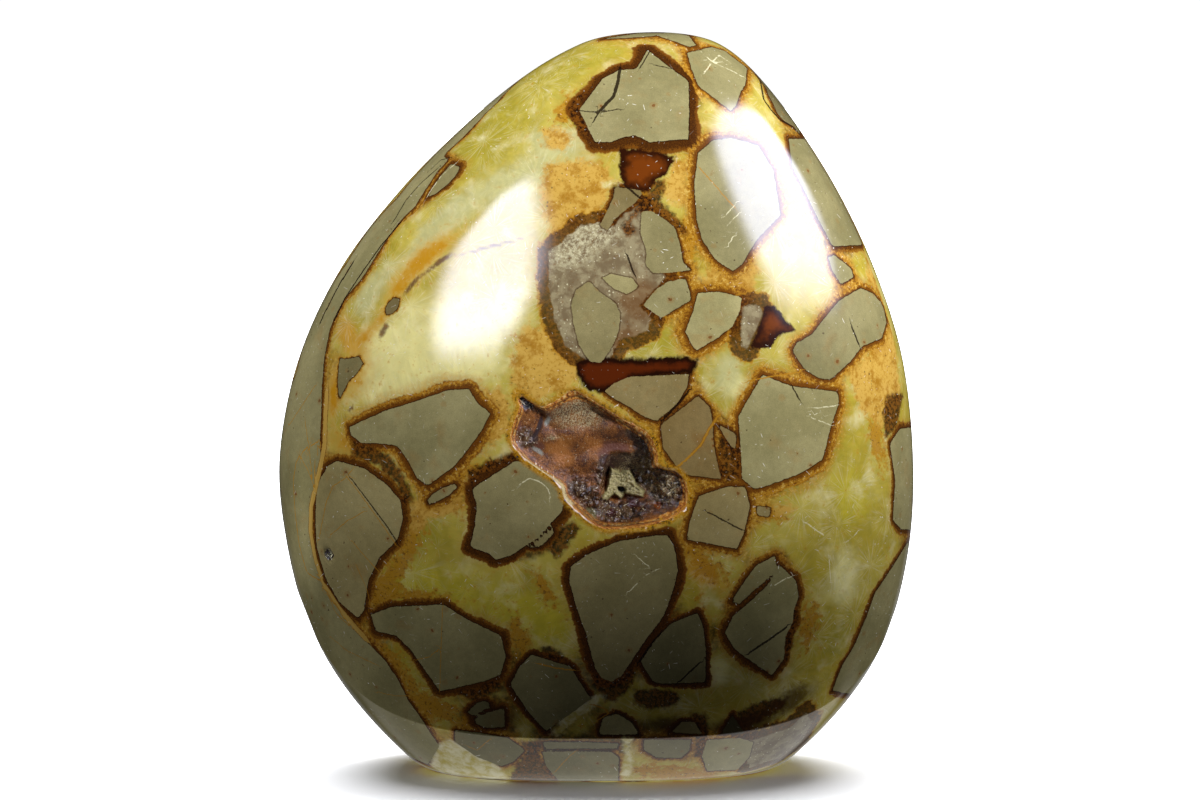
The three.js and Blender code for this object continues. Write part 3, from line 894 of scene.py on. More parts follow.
# Quads between neighbouring rings, and a fan at each end. Texture places follow the grid.
def buildStone():
    rings = stoneRings()
    hollowDistance = sinkHollow(rings)
    poreDistance = sinkPore(rings)
    marks = markStone(rings, hollowDistance, poreDistance)
    rows, columns = rings.shape[:2]
    crown = np.array(nodule["sections"][0])[[1, 3, 0]]
    foot = np.array([nodule["base"]["centreX"], 0.0, 0.0])
    points = swell(np.vstack([rings.reshape(-1, 3), crown, foot]))
    row, column = np.mgrid[0:rows - 1, 0:columns]
    after = (column + 1) % columns
    quads = np.stack([row * columns + column, (row + 1) * columns + column,
                      (row + 1) * columns + after, row * columns + after], -1).reshape(-1, 4)
    u, v = column / columns, 1 - (row + 1) / (rows + 1)
    right, below = (column + 1) / columns, 1 - (row + 2) / (rows + 1)
    quadUv = cornerUv(u, v, u, below, right, below, right, v)
    i = np.arange(columns)
    top = np.stack([np.full(columns, rows * columns), i, (i + 1) % columns], -1)
    last = (rows - 1) * columns
    bottom = np.stack([np.full(columns, rows * columns + 1), last + (i + 1) % columns, last + i], -1)
    edge = 1 / (rows + 1)
    topUv = cornerUv((i + 0.5) / columns, 1, i / columns, 1 - edge, (i + 1) / columns, 1 - edge)
    bottomUv = cornerUv((i + 0.5) / columns, 0, (i + 1) / columns, edge, i / columns, edge)
    faces = quads.tolist() + top.tolist() + bottom.tolist()
    piece = makeMesh("polished_nodule", points, faces, np.vstack([quadUv, topUv, bottomUv]))
    for name, values in marks.items():
        ends = np.stack([values[:columns].mean(0), values[-columns:].mean(0)])
        setAttribute(piece.data, name, np.concatenate([values, ends]))
    return piece


stonePiece = buildStone()
print("stone built:", len(stonePiece.data.vertices), "vertices")


# A colour from 0 to 255 as linear light.
def paint(red, green, blue):
    def toLinear(c):
        c = c / 255
        return c / 12.92 if c <= 0.04045 else ((c + 0.055) / 1.055) ** 2.4
    return (toLinear(red), toLinear(green), toLinear(blue), 1.0)


# Links another node's output to a socket, or sets the socket to a plain value.
def plug(tree, socket, value):
    if isinstance(value, bpy.types.NodeSocket):
        tree.links.new(value, socket)
    else:
        socket.default_value = value


# One sum of numbers.
def calc(tree, operation, a, b=0.0, c=0.0):
    made = tree.nodes.new("ShaderNodeMath")
    made.operation = operation
    for socket, value in zip(made.inputs, (a, b, c)):
        plug(tree, socket, value)
    return made.outputs[0]


# A smooth step of a value from low to high.
def step(tree, value, low, high, start=0.0, end=1.0):
    made = tree.nodes.new("ShaderNodeMapRange")
    made.interpolation_type = "SMOOTHSTEP"
    for socket, number in zip(made.inputs, (value, low, high, start, end)):
        plug(tree, socket, number)
    return made.outputs[0]


# Colour a where the share is nought, b where it is one.
def mix(tree, share, a, b, blend="MIX"):
    made = tree.nodes.new("ShaderNodeMix")
    made.data_type = "RGBA"
    made.blend_type = blend
    plug(tree, made.inputs[0], share)
    plug(tree, made.inputs[6], a)
    plug(tree, made.inputs[7], b)
    return made.outputs[2]


# Layered noise from 0 to 1, its scale in cycles to a millimetre.
def noise(tree, where, scale, detail=3.0, rough=0.55, bend=0.0):
    made = tree.nodes.new("ShaderNodeTexNoise")
    plug(tree, made.inputs["Vector"], where)
    made.inputs["Scale"].default_value = scale
    made.inputs["Detail"].default_value = detail
    made.inputs["Roughness"].default_value = rough
    made.inputs["Distortion"].default_value = bend
    return made.outputs["Fac"]


# Noise from a pattern, about nought.
def wobble(tree, where, pattern):
    return calc(tree, "SUBTRACT", noise(tree, where, *pattern), 0.5)


# Colours along a value, blended between its stops.
def ramp(tree, value, stops):
    made = tree.nodes.new("ShaderNodeValToRGB")
    plug(tree, made.inputs[0], value)
    line = made.color_ramp.elements
    while len(line) < len(stops):
        line.new(0.5)
    for mark, (position, colour) in zip(line, stops):
        mark.position = position
        mark.color = colour
    return made.outputs[0]


# What the mesh holds at each point under a name.
def attribute(tree, name):
    made = tree.nodes.new("ShaderNodeAttribute")
    made.attribute_name = name
    return made


# The three numbers of a vector.
def parts(tree, vector):
    made = tree.nodes.new("ShaderNodeSeparateXYZ")
    tree.links.new(vector, made.inputs[0])
    return made.outputs


# One sum of vectors.
def vectorCalc(tree, operation, a, b=None, scale=None, result="Vector"):
    made = tree.nodes.new("ShaderNodeVectorMath")
    made.operation = operation
    plug(tree, made.inputs[0], a)
    if b is not None:
        plug(tree, made.inputs[1], b)
    if scale is not None:
        plug(tree, made.inputs["Scale"], scale)
    return made.outputs[result]


# The product of several numbers.
def times(tree, first, *others):
    for other in others:
        first = calc(tree, "MULTIPLY", first, other)
    return first


# A single number that the mesh holds.
def value(tree, name):
    return attribute(tree, name).outputs["Fac"]


# That number plus some noise, which frays the border of what it draws.
def frayed(tree, ragged, amount, name):
    return calc(tree, "MULTIPLY_ADD", ragged, amount, value(tree, name))


# A grey colour from a number.
def combine(tree, number):
    made = tree.nodes.new("ShaderNodeCombineColor")
    for socket in made.inputs:
        plug(tree, socket, number)
    return made.outputs[0]


# A place moved about by noise of a scale per millimetre, by up to half a size in millimetres.
def bend(tree, where, scale, size):
    made = tree.nodes.new("ShaderNodeTexNoise")
    plug(tree, made.inputs["Vector"], where)
    made.inputs["Scale"].default_value = scale
    made.inputs["Detail"].default_value = 3.0
    centred = vectorCalc(tree, "SUBTRACT", made.outputs["Color"], (0.5, 0.5, 0.5))
    return vectorCalc(tree, "ADD", where, vectorCalc(tree, "SCALE", centred, scale=size))


# A sum of vectors that gives a number, such as a length.
def measure(tree, operation, a, b=None):
    return vectorCalc(tree, operation, a, b, result="Value")


# An empty node group with its sockets, each a name, a kind and a value.
def newGroup(name, inputs, outputs):
    tree = bpy.data.node_groups.new(name, "ShaderNodeTree")
    for label, kind, value in inputs:
        made = tree.interface.new_socket(label, in_out="INPUT", socket_type=kind)
        if value is not None:
            made.default_value = value
    for label, kind in outputs:
        tree.interface.new_socket(label, in_out="OUTPUT", socket_type=kind)
    return tree, tree.nodes.new("NodeGroupInput").outputs, tree.nodes.new("NodeGroupOutput").inputs


# A node group put to use in a material.
def useGroup(tree, group, **values):
    made = tree.nodes.new("ShaderNodeGroup")
    made.node_tree = group
    for name, value in values.items():
        plug(tree, made.inputs[name], value)
    return made.outputs


# Scattered round grains: a share of the cells of a Voronoi pattern holds one, of uneven size.
def makeGrainGroup():
    tree, given, out = newGroup(
        "scatteredGrains",
        [("Place", "NodeSocketVector", None), ("PerMm", "NodeSocketFloat", 1.0),
         ("Share", "NodeSocketFloat", 0.3), ("Size", "NodeSocketFloat", 0.3)],
        [("Mask", "NodeSocketFloat"), ("Pick", "NodeSocketFloat")])
    cells = tree.nodes.new("ShaderNodeTexVoronoi")
    tree.links.new(given["Place"], cells.inputs["Vector"])
    tree.links.new(given["PerMm"], cells.inputs["Scale"])
    pick = parts(tree, cells.outputs["Color"])
    chosen = calc(tree, "LESS_THAN", pick[0], given["Share"])
    radius = calc(tree, "MULTIPLY", given["Size"], calc(tree, "MULTIPLY_ADD", pick[1], 0.7, 0.4))
    away = calc(tree, "DIVIDE", cells.outputs["Distance"], radius)
    mask = calc(tree, "MULTIPLY", chosen, step(tree, away, 1.15, 0.75))
    tree.links.new(mask, out["Mask"])
    tree.links.new(pick[2], out["Pick"])
    return tree


grainGroup = makeGrainGroup()


# Short straight scratches: a share of the cells of a Voronoi pattern holds one, each its own way.
def makeScratchGroup():
    tree, given, out = newGroup(
        "scatteredScratches",
        [("Place", "NodeSocketVector", None), ("PerMm", "NodeSocketFloat", 0.5),
         ("Share", "NodeSocketFloat", 0.3), ("Long", "NodeSocketFloat", 0.8),
         ("Half", "NodeSocketFloat", 0.05)],
        [("Mask", "NodeSocketFloat")])
    cells = tree.nodes.new("ShaderNodeTexVoronoi")
    tree.links.new(given["Place"], cells.inputs["Vector"])
    tree.links.new(given["PerMm"], cells.inputs["Scale"])
    pick = parts(tree, cells.outputs["Color"])
    chosen = calc(tree, "LESS_THAN", pick[1], given["Share"])
    lean = vectorCalc(tree, "SUBTRACT", cells.outputs["Color"], (0.5, 0.5, 0.5))
    way = vectorCalc(tree, "NORMALIZE", vectorCalc(tree, "MULTIPLY", lean, (1.0, 0.25, 1.0)))
    away = vectorCalc(tree, "SUBTRACT", given["Place"], cells.outputs["Position"])
    away = vectorCalc(tree, "MULTIPLY", away, (1.0, 0.25, 1.0))
    along = measure(tree, "DOT_PRODUCT", away, way)
    onLine = vectorCalc(tree, "SCALE", way, scale=along)
    beside = measure(tree, "LENGTH", vectorCalc(tree, "SUBTRACT", away, onLine))
    thin = step(tree, calc(tree, "DIVIDE", beside, given["Half"]), 1.5, 0.6)
    short = step(tree, calc(tree, "DIVIDE", calc(tree, "ABSOLUTE", along), given["Long"]), 1.0, 0.6)
    tree.links.new(times(tree, chosen, thin, short), out["Mask"])
    return tree


scratchGroup = makeScratchGroup()


# A material with places in millimetres to start from.
def newMaterial(name):
    made = bpy.data.materials.new(name)
    made.use_nodes = True
    tree = made.node_tree
    shader = tree.nodes["Principled BSDF"]
    place = tree.nodes.new("ShaderNodeTexCoord").outputs["Object"]
    millimetres = vectorCalc(tree, "SCALE", place, scale=1000.0)
    return made, tree, shader, millimetres


# The polished stone's colours, each as red, green and blue from 0 to 255.
finish = {
    "grey": (135, 128, 88),
    "greyLight": (152, 144, 102),
    "greyWarm": (146, 108, 54),
    "rust": (112, 60, 20),
    "line": (28, 15, 8),
    "rimDark": (56, 29, 10),
    "rimMid": (114, 67, 17),
    "rimGold": (178, 126, 32),
    "rimPale": (208, 172, 88),
    "calcite": (192, 176, 80),
    "calciteShade": (176, 158, 56),
    "deepCalcite": (168, 154, 52),
    "paleCalcite": (227, 218, 146),
    "honeyCalcite": (193, 178, 55),
    "goldCalcite": (200, 152, 50),
    # Pale haze painted round the softbox highlights.
    "hazeCalcite": (192, 187, 128),
    "wisp": (238, 232, 194),
    "flame": (192, 136, 20),
    "flameCore": (96, 62, 48),
    "ochre": (204, 163, 76),
    "ochreDeep": (166, 117, 34),
    "pit": (84, 70, 36),
    "amber": (112, 54, 12),
    "amberDark": (44, 18, 6),
    "red": (88, 34, 8),
    "redDark": (32, 12, 5),
    "beige": (156, 144, 112),
    "beigeDark": (120, 104, 78),
    # White of the painted glints.
    "glint": (246, 243, 228),
}
polish = {"roughness": (0.052, 0.0845), "ior": 1.52}


# Noise in the stone: cycles to a millimetre, detail, roughness and, where given, distortion.
patterns = {
    "broad": (0.09, 3.0, 0.5),
    "stain": (0.17, 4.0, 0.6, 0.4),
    "grain": (6.0, 2.0, 0.7),
    "mottle": (0.8, 4.0, 0.6),
    "cloud": (0.1, 2.0, 0.5, 0.4),
    "wave": (0.22, 3.0, 0.55, 0.5),
    "milk": (0.2, 4.0, 0.55, 0.3),
    "fibres": (1.2, 2.0, 0.55),
    "veil": (0.4, 3.0, 0.55),
    "needles": (2.6, 3.0, 0.6),
    "rimWidth": (0.13, 2.0, 0.5),
    "spikes": (1.1, 3.0, 0.65),
    "grit": (4.6, 3.0, 0.7),
    "beige": (0.5, 4.0, 0.6, 0.3),
    "amber": (0.2, 3.0, 0.6),
    "fine": (3.4, 2.0, 0.6),
    "crumbs": (1.4, 5.0, 0.78),
    "ochre": (0.35, 4.0, 0.6),
    "pitted": (0.25, 2.0, 0.5),
    "broken": (0.55, 3.0, 0.6),
    "cluster": (0.14, 3.0, 0.6),
    "gloss": (0.5, 4.0, 0.6),
}

# Scattered grains and scratches: cells to a millimetre, the share of them that holds one, sizes.
scattered = {
    "greySpeck": {"PerMm": 0.36, "Share": 0.30},
    "pin": {"PerMm": 0.85, "Share": 0.13, "Size": 0.17},
    "dust": {"PerMm": 1.7, "Share": 0.34, "Size": 0.26},
    "pits": {"PerMm": 1.3, "Share": 0.5, "Size": 0.27},
    "glints": {"PerMm": 1.0, "Share": 0.2, "Size": 0.14},
    "glintScratches": {"PerMm": 0.6, "Share": 0.5, "Long": 0.7, "Half": 0.05},
}

goldCrumbs = ("rimMid", "ochreDeep", "rimGold", "rimPale")


# Mudstone: even grey with slow stains, fine grain, rusty specks in paler halos and pinholes.
def mudstoneColour(tree, mm, tone, style):
    broad = noise(tree, mm, *patterns["broad"])
    grey = mix(tree, step(tree, broad, 0.35, 0.65), tone["grey"], tone["greyLight"])
    stain = step(tree, noise(tree, mm, *patterns["stain"]), 0.54, 0.78)
    grey = mix(tree, calc(tree, "MULTIPLY_ADD", stain, 0.34, style[1]), grey, tone["greyWarm"])
    grain = step(tree, noise(tree, mm, *patterns["grain"]), 0.25, 0.75, 0.86, 1.14)
    mottle = step(tree, noise(tree, mm, *patterns["mottle"]), 0.3, 0.7, 0.93, 1.06)
    grey = mix(tree, 1.0, grey, combine(tree, times(tree, style[0], grain, mottle)), "MULTIPLY")
    bent = bend(tree, mm, 1.6, 0.9)
    for size, share, key in ((0.30, 0.30, "greyWarm"), (0.13, 0.75, "rust")):
        speck = useGroup(tree, grainGroup, Place=bent, Size=size, **scattered["greySpeck"])
        grey = mix(tree, times(tree, speck["Mask"], share), grey, tone[key])
    pin = useGroup(tree, grainGroup, Place=bent, **scattered["pin"])
    return mix(tree, times(tree, pin["Mask"], 0.7), grey, tone["rimDark"])


# Calcite: slow clouds of colour, fibres that stand on the clasts' edges, milky wisps and sprays.
def calciteColour(tree, mm, tone, fibrePlace):
    cloud = noise(tree, mm, *patterns["cloud"])
    colour = mix(tree, step(tree, cloud, 0.36, 0.64), tone["calciteShade"], tone["calcite"])
    wave = wobble(tree, mm, patterns["wave"])
    # One of these clouds paints the haze round the highlights.
    for name in clouds:
        if name.endswith("Calcite"):
            amount = calc(tree, "MULTIPLY_ADD", wave, 1.1, value(tree, name))
            colour = mix(tree, step(tree, amount, 0.1, 0.9), colour, tone[name])
    milk = step(tree, noise(tree, bend(tree, mm, 0.2, 3.0), *patterns["milk"]), 0.5, 0.8)
    colour = mix(tree, times(tree, milk, 0.45), colour, tone["wisp"])
    for perMm, reach, share in ((0.085, 8.0, 0.38), (0.21, 3.0, 0.26)):
        colour = mix(tree, times(tree, sprays(tree, mm, perMm, reach), share), colour, tone["wisp"])
    fibres = step(tree, noise(tree, fibrePlace, *patterns["fibres"]), 0.3, 0.7, 0.93, 1.05)
    veil = step(tree, noise(tree, mm, *patterns["veil"]), 0.3, 0.7, 0.93, 1.06)
    return mix(tree, 1.0, colour, combine(tree, times(tree, fibres, veil)), "MULTIPLY")


# Needles that spread from scattered middles: noise over the way from the nearest middle.
def sprays(tree, mm, perMm, reach):
    cells = tree.nodes.new("ShaderNodeTexVoronoi")
    plug(tree, cells.inputs["Vector"], mm)
    cells.inputs["Scale"].default_value = perMm
    away = vectorCalc(tree, "SUBTRACT", mm, cells.outputs["Position"])
    normal = tree.nodes.new("ShaderNodeNewGeometry").outputs["Normal"]
    lift = measure(tree, "DOT_PRODUCT", away, normal)
    away = vectorCalc(tree, "SUBTRACT", away, vectorCalc(tree, "SCALE", normal, scale=lift))
    way = vectorCalc(tree, "NORMALIZE", away)
    seeded = vectorCalc(tree, "ADD", vectorCalc(tree, "SCALE", way, scale=4.0),
                        vectorCalc(tree, "SCALE", cells.outputs["Color"], scale=40.0))
    needles = step(tree, noise(tree, seeded, *patterns["needles"]), 0.5, 0.68)
    return times(tree, needles, step(tree, measure(tree, "LENGTH", away), reach, reach * 0.15))


# Crumbly golden crystals, from dark grains to pale ones.
def crumbColour(tree, crumbs, tone, keys):
    places = [0.4 + 0.22 * i / (len(keys) - 1) for i in range(len(keys))]
    return ramp(tree, crumbs, [(place, tone[key]) for place, key in zip(places, keys)])


# Rims: a dark line on the clast, speckled brown, gold, then a granular fringe that fades out.
def addRims(tree, body, tone, style, gold, edge, crumbs, mm, fibrePlace):
    low = noise(tree, mm, *patterns["rimWidth"])
    width = times(tree, style[2], calc(tree, "MULTIPLY_ADD", low, 1.7, 0.35))
    spikes = wobble(tree, fibrePlace, patterns["spikes"])
    out = calc(tree, "MULTIPLY", edge, -1.0)
    place = calc(tree, "DIVIDE", calc(tree, "MULTIPLY_ADD", spikes, 1.3, out), width)
    grit = wobble(tree, mm, patterns["grit"])
    brown = mix(tree, step(tree, calc(tree, "MULTIPLY_ADD", gold, 0.6, grit), -0.1, 0.5), tone["rimDark"],
                tone["rimMid"])
    brown = mix(tree, times(tree, step(tree, grit, 0.1, 0.24), gold, 0.8), brown, tone["rimGold"])
    golden = step(tree, gold, 0.05, 0.6)
    outer = mix(tree, golden, tone["rimMid"], crumbColour(tree, crumbs, tone, goldCrumbs))
    share = calc(tree, "MULTIPLY_ADD", grit, 0.9, place)
    turn = calc(tree, "MULTIPLY_ADD", gold, -0.35, 0.75)
    goldShare = step(tree, calc(tree, "SUBTRACT", share, turn), -0.22, 0.22)
    rim = mix(tree, goldShare, brown, outer)
    border = times(tree, step(tree, share, 0.86, 1.02), step(tree, low, 0.42, 0.6, 0.1, 0.8))
    rim = mix(tree, border, rim, tone["rimMid"])
    fringe = times(tree, step(tree, place, 2.4, 1.0), step(tree, gold, -0.3, 0.8),
                   step(tree, crumbs, 0.34, 0.6, 0.25, 0.9))
    body = mix(tree, fringe, body, crumbColour(tree, crumbs, tone, goldCrumbs))
    body = mix(tree, step(tree, place, 1.14, 0.92), body, rim)
    return mix(tree, times(tree, step(tree, out, 0.3, 0.08), 0.75), body, tone["line"])


# Patches that fill part of the veins, each with its own grain and border.
def addPatches(tree, body, tone, ragged, crumbs, mm, edge):
    def patch(name, rough, low, high):
        return step(tree, frayed(tree, ragged, rough, name), low, high)

    mottle = noise(tree, mm, *patterns["beige"])
    beige = mix(tree, step(tree, mottle, 0.36, 0.64), tone["beigeDark"], tone["beige"])
    dust = useGroup(tree, grainGroup, Place=bend(tree, mm, 2.0, 0.5), **scattered["dust"])
    beige = mix(tree, times(tree, dust["Mask"], 0.7), beige, tone["wisp"])
    beige = mix(tree, times(tree, step(tree, crumbs, 0.44, 0.34), 0.5), beige, tone["rimMid"])
    browned = times(tree, step(tree, value(tree, "brownCloud"), 0.2, 0.8), 0.5)
    beige = mix(tree, browned, beige, tone["rimMid"])
    white = times(tree, step(tree, value(tree, "whiteCloud"), 0.1, 0.9), step(tree, crumbs, 0.44, 0.6), 0.5)
    beige = mix(tree, white, beige, tone["wisp"])
    border = mix(tree, step(tree, crumbs, 0.42, 0.62), tone["rimDark"], tone["rimMid"])
    border = mix(tree, patch("beige", 3.0, -2.0, -2.6), border, tone["rimGold"])
    body = mix(tree, times(tree, patch("beige", 3.0, -3.0, -2.3), 0.9), body, border)
    inside = patch("beige", 1.4, -0.2, 0.3)
    outlined = times(tree, step(tree, calc(tree, "ABSOLUTE", edge), 0.35, 0.1), 0.7)
    beige = mix(tree, outlined, beige, tone["rimDark"])
    body = mix(tree, inside, body, beige)

    slow = noise(tree, mm, *patterns["amber"])
    depth = calc(tree, "MULTIPLY_ADD", slow, 4.6, calc(tree, "MULTIPLY_ADD", ragged, 1.0, -2.3))
    lit = step(tree, calc(tree, "ADD", depth, value(tree, "amber")), 0.2, 2.6)
    amber = mix(tree, lit, tone["amberDark"], tone["amber"])
    body = mix(tree, patch("amber", 1.6, -0.4, 0.2), body, amber)
    red = mix(tree, patch("red", 1.6, 0.2, 1.6), tone["redDark"], tone["red"])
    body = mix(tree, patch("red", 2.0, -0.8, 0.1), body, red)
    brown = crumbColour(tree, crumbs, tone, ("line", "rimDark", "rimMid", "rimMid"))
    body = mix(tree, times(tree, patch("brown", 2.4, -0.5, 0.6), 0.92), body, brown)
    veil = mix(tree, step(tree, mottle, 0.3, 0.7), tone["calcite"], tone["wisp"])
    return mix(tree, times(tree, patch("pale", 2.0, -0.6, 0.5), 0.85), body, veil)


# The whole polished stone: calcite with its veins, then rims and patches, the clasts on top, then
# threads, glints, the rim of the hollow and the pore.
def makeStoneMaterial():
    made, tree, shader, mm = newMaterial("polishedStone")
    tone = {key: paint(*colour) for key, colour in finish.items()}
    style = parts(tree, attribute(tree, "style").outputs["Vector"])
    gold = value(tree, "gold")
    ragged = wobble(tree, mm, patterns["mottle"])
    fine = wobble(tree, mm, patterns["fine"])
    crumbs = noise(tree, mm, *patterns["crumbs"])
    torn = frayed(tree, ragged, 0.45, "clast")
    edge = calc(tree, "MULTIPLY_ADD", fine, 0.22, torn)
    foot = vectorCalc(tree, "SCALE", attribute(tree, "foot").outputs["Vector"], scale=0.8)
    fibrePlace = vectorCalc(tree, "ADD", mm, foot)

    body = calciteColour(tree, mm, tone, fibrePlace)
    narrow = step(tree, frayed(tree, ragged, 3.0, "gap"), 6.6, 3.4)
    veinDark = crumbColour(tree, crumbs, tone, ("line", "rimDark", "rimMid"))
    veinGold = crumbColour(tree, crumbs, tone, goldCrumbs)
    vein = mix(tree, step(tree, gold, 0.1, 0.6), veinDark, veinGold)
    body = mix(tree, times(tree, narrow, 0.88), body, vein)
    heat = frayed(tree, ragged, 1.2, "flameCloud")
    hot = mix(tree, step(tree, heat, 0.5, 1.3), tone["ochre"], tone["flame"])
    body = mix(tree, times(tree, step(tree, heat, -0.1, 1.2), 0.92), body, hot)
    core = step(tree, frayed(tree, ragged, 0.9, "flameCore"), 0.3, 0.9)
    body = mix(tree, times(tree, core, 0.85), body, tone["flameCore"])
    crumbled = step(tree, frayed(tree, ragged, 2.4, "crumbCloud"), 0.2, 0.8)
    body = mix(tree, times(tree, crumbled, 0.85), body,
               crumbColour(tree, crumbs, tone, ("rimMid", "flame", "ochreDeep", "rimGold")))

    lightOchre = step(tree, noise(tree, mm, *patterns["ochre"]), 0.32, 0.56)
    ochre = mix(tree, lightOchre, tone["ochreDeep"], tone["ochre"])
    ochre = mix(tree, times(tree, step(tree, crumbs, 0.48, 0.38), 0.7), ochre, tone["ochreDeep"])
    ochre = mix(tree, step(tree, crumbs, 0.56, 0.68), ochre, tone["rimPale"])
    pitted = step(tree, noise(tree, mm, *patterns["pitted"]), 0.4, 0.56)
    pits = useGroup(tree, grainGroup, Place=bend(tree, mm, 2.0, 0.7), **scattered["pits"])
    ochre = mix(tree, times(tree, pits["Mask"], pitted, 0.8), ochre, tone["pit"])
    ochreMask = step(tree, frayed(tree, ragged, 5.0, "ochre"), -1.1, 0.9)
    body = mix(tree, times(tree, ochreMask, 0.95), body, ochre)

    body = addRims(tree, body, tone, style, gold, edge, crumbs, mm, fibrePlace)
    body = addPatches(tree, body, tone, ragged, crumbs, mm, edge)
    # Darker towards rimDark near the bottom: partly the stone's brown, partly painted shade.
    shade = step(tree, frayed(tree, ragged, 0.8, "shadeCloud"), 0.25, 0.95)
    body = mix(tree, times(tree, shade, 0.8), body, tone["rimDark"])

    isClast = step(tree, edge, -0.05, 0.06)
    colour = mix(tree, isClast, body, mudstoneColour(tree, mm, tone, style))

    broken = step(tree, noise(tree, mm, *patterns["broken"]), 0.4, 0.52)
    for name, key, share in (("goldThread", "rimGold", 0.85), ("darkThread", "line", 0.92),
                             ("whiteThread", "wisp", times(tree, broken, 0.75))):
        line = parts(tree, attribute(tree, name).outputs["Vector"])
        wander = calc(tree, "MULTIPLY_ADD", fine, 0.28, calc(tree, "MULTIPLY_ADD", ragged, 0.4, line[0]))
        aside = calc(tree, "ABSOLUTE", wander)
        room = calc(tree, "SUBTRACT", line[1], aside)
        shade = tone[key]
        if name == "goldThread":
            shade = mix(tree, times(tree, step(tree, line[1], 0.3, 0.5), 0.75), shade, tone["rimPale"])
        colour = mix(tree, times(tree, step(tree, room, -0.06, 0.05), share), colour, shade)
        if name == "goldThread":
            side = times(tree, step(tree, line[1], 0.2, 0.3), step(tree, room, 0.14, 0.02),
                         step(tree, room, -0.1, 0.0))
            colour = mix(tree, times(tree, side, 0.8), colour, tone["rimMid"])

    lighter = calc(tree, "MULTIPLY_ADD", value(tree, "lightEdge"), 0.85, 1.0)
    colour = mix(tree, 1.0, colour, combine(tree, lighter), "MULTIPLY")

    # Painted highlights: short scratches and tiny grains in the glint white, in clusters; the scratches are
    # partly real wear.
    cluster = step(tree, noise(tree, mm, *patterns["cluster"]), 0.47, 0.62, 0.25, 1.0)
    glintScratches = useGroup(tree, scratchGroup, Place=mm, **scattered["glintScratches"])
    colour = mix(tree, times(tree, glintScratches["Mask"], cluster, 0.85), colour, tone["glint"])
    glints = useGroup(tree, grainGroup, Place=bend(tree, mm, 2.4, 0.4), **scattered["glints"])
    colour = mix(tree, times(tree, glints["Mask"], cluster, 0.9), colour, tone["glint"])

    lip = frayed(tree, ragged, 1.1, "rimDistance")
    lipColour = crumbColour(tree, crumbs, tone, ("rimDark", "flame", "rimGold", "rimPale"))
    colour = mix(tree, times(tree, step(tree, lip, 1.5, 0.5), 0.9), colour, lipColour)
    # The pore painted dark with pale grains: painted shade inside it and painted glints.
    inPore = step(tree, value(tree, "poreDistance"), 0.25, -0.1)
    poreShadeAndGlints = mix(tree, step(tree, crumbs, 0.52, 0.62), tone["line"], tone["wisp"])
    colour = mix(tree, inPore, colour, poreShadeAndGlints)

    least, most = polish["roughness"]
    smooth = step(tree, noise(tree, mm, *patterns["gloss"]), 0.3, 0.7, least, most)
    plug(tree, shader.inputs["Roughness"], calc(tree, "MAXIMUM", smooth, times(tree, inPore, 0.6)))
    plug(tree, shader.inputs["Base Color"], colour)
    shader.inputs["IOR"].default_value = polish["ior"]
    return made


stonePiece.data.materials.append(makeStoneMaterial())
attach(stonePiece, "root")
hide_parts("nodule")
print("stone finished")

# The crust of crystals in the hollow, in millimetres.
druse = {
    "cells": 290,
    "lipStart": 0.985,  # share of the grid's half width that reaches the rim
    "lipEnd": 0.05,  # depth of the crust's outer edge
    "lipReach": 0.3,  # how far the crust's edge runs out on the polished face
    "lipRise": 0.02,
    "back": 0.9,  # thickness at the rim
    "backShares": (0.97, 0.85, 0.72, 0.59, 0.46, 0.33, 0.2, 0.1),  # rings of the crust's back, out to in
    "backGap": 0.14,  # the back lies this far behind the bed
    "frameScale": 0.204,  # millimetres of the stone to a step in the frame, here in its middle
    "wall": 0.45,  # the wall falls off over this distance from the rim
    "gentle": 1.5,  # and over this much more where it slopes
    "wallPower": 1.4,
    "closing": 0.3,  # it stays in front of the floor from this far in
    "fine": (0.34, 0.5, 3),  # crystals: height, cell and seed
    "coarse": (1.5, 1.35, 11),
    "fineLeast": 0.3,  # share of their height that the fine ones keep outside the crystal zones
    "swells": (0.4, 5.0, 6),  # size, length and seed
    "moundHeight": 2.2,
    "moundGrain": (0.85, 0.25),  # share of that height, and what the fine crystals add
    "bedLift": 0.3,  # the bed lies this far in front of the rock floor
    "bedRoom": 0.9,  # and goes this far below the dish before the pocket
    "pocketShare": 0.72,  # how much of the pocket's depth the bed follows
    "thinnest": 0.15,
    "seenAt": 0.6,  # share of the floor's depth where markings are read
    # shares of the texture: the front, the back's rings (start, span, height) and the fan
    "texture": {"front": 0.92, "rings": (0.93, 0.06, 0.05), "fan": (0.99, 1.0)},
    "holeDepth": 1.8,
    "slitDepth": 1.1,
}

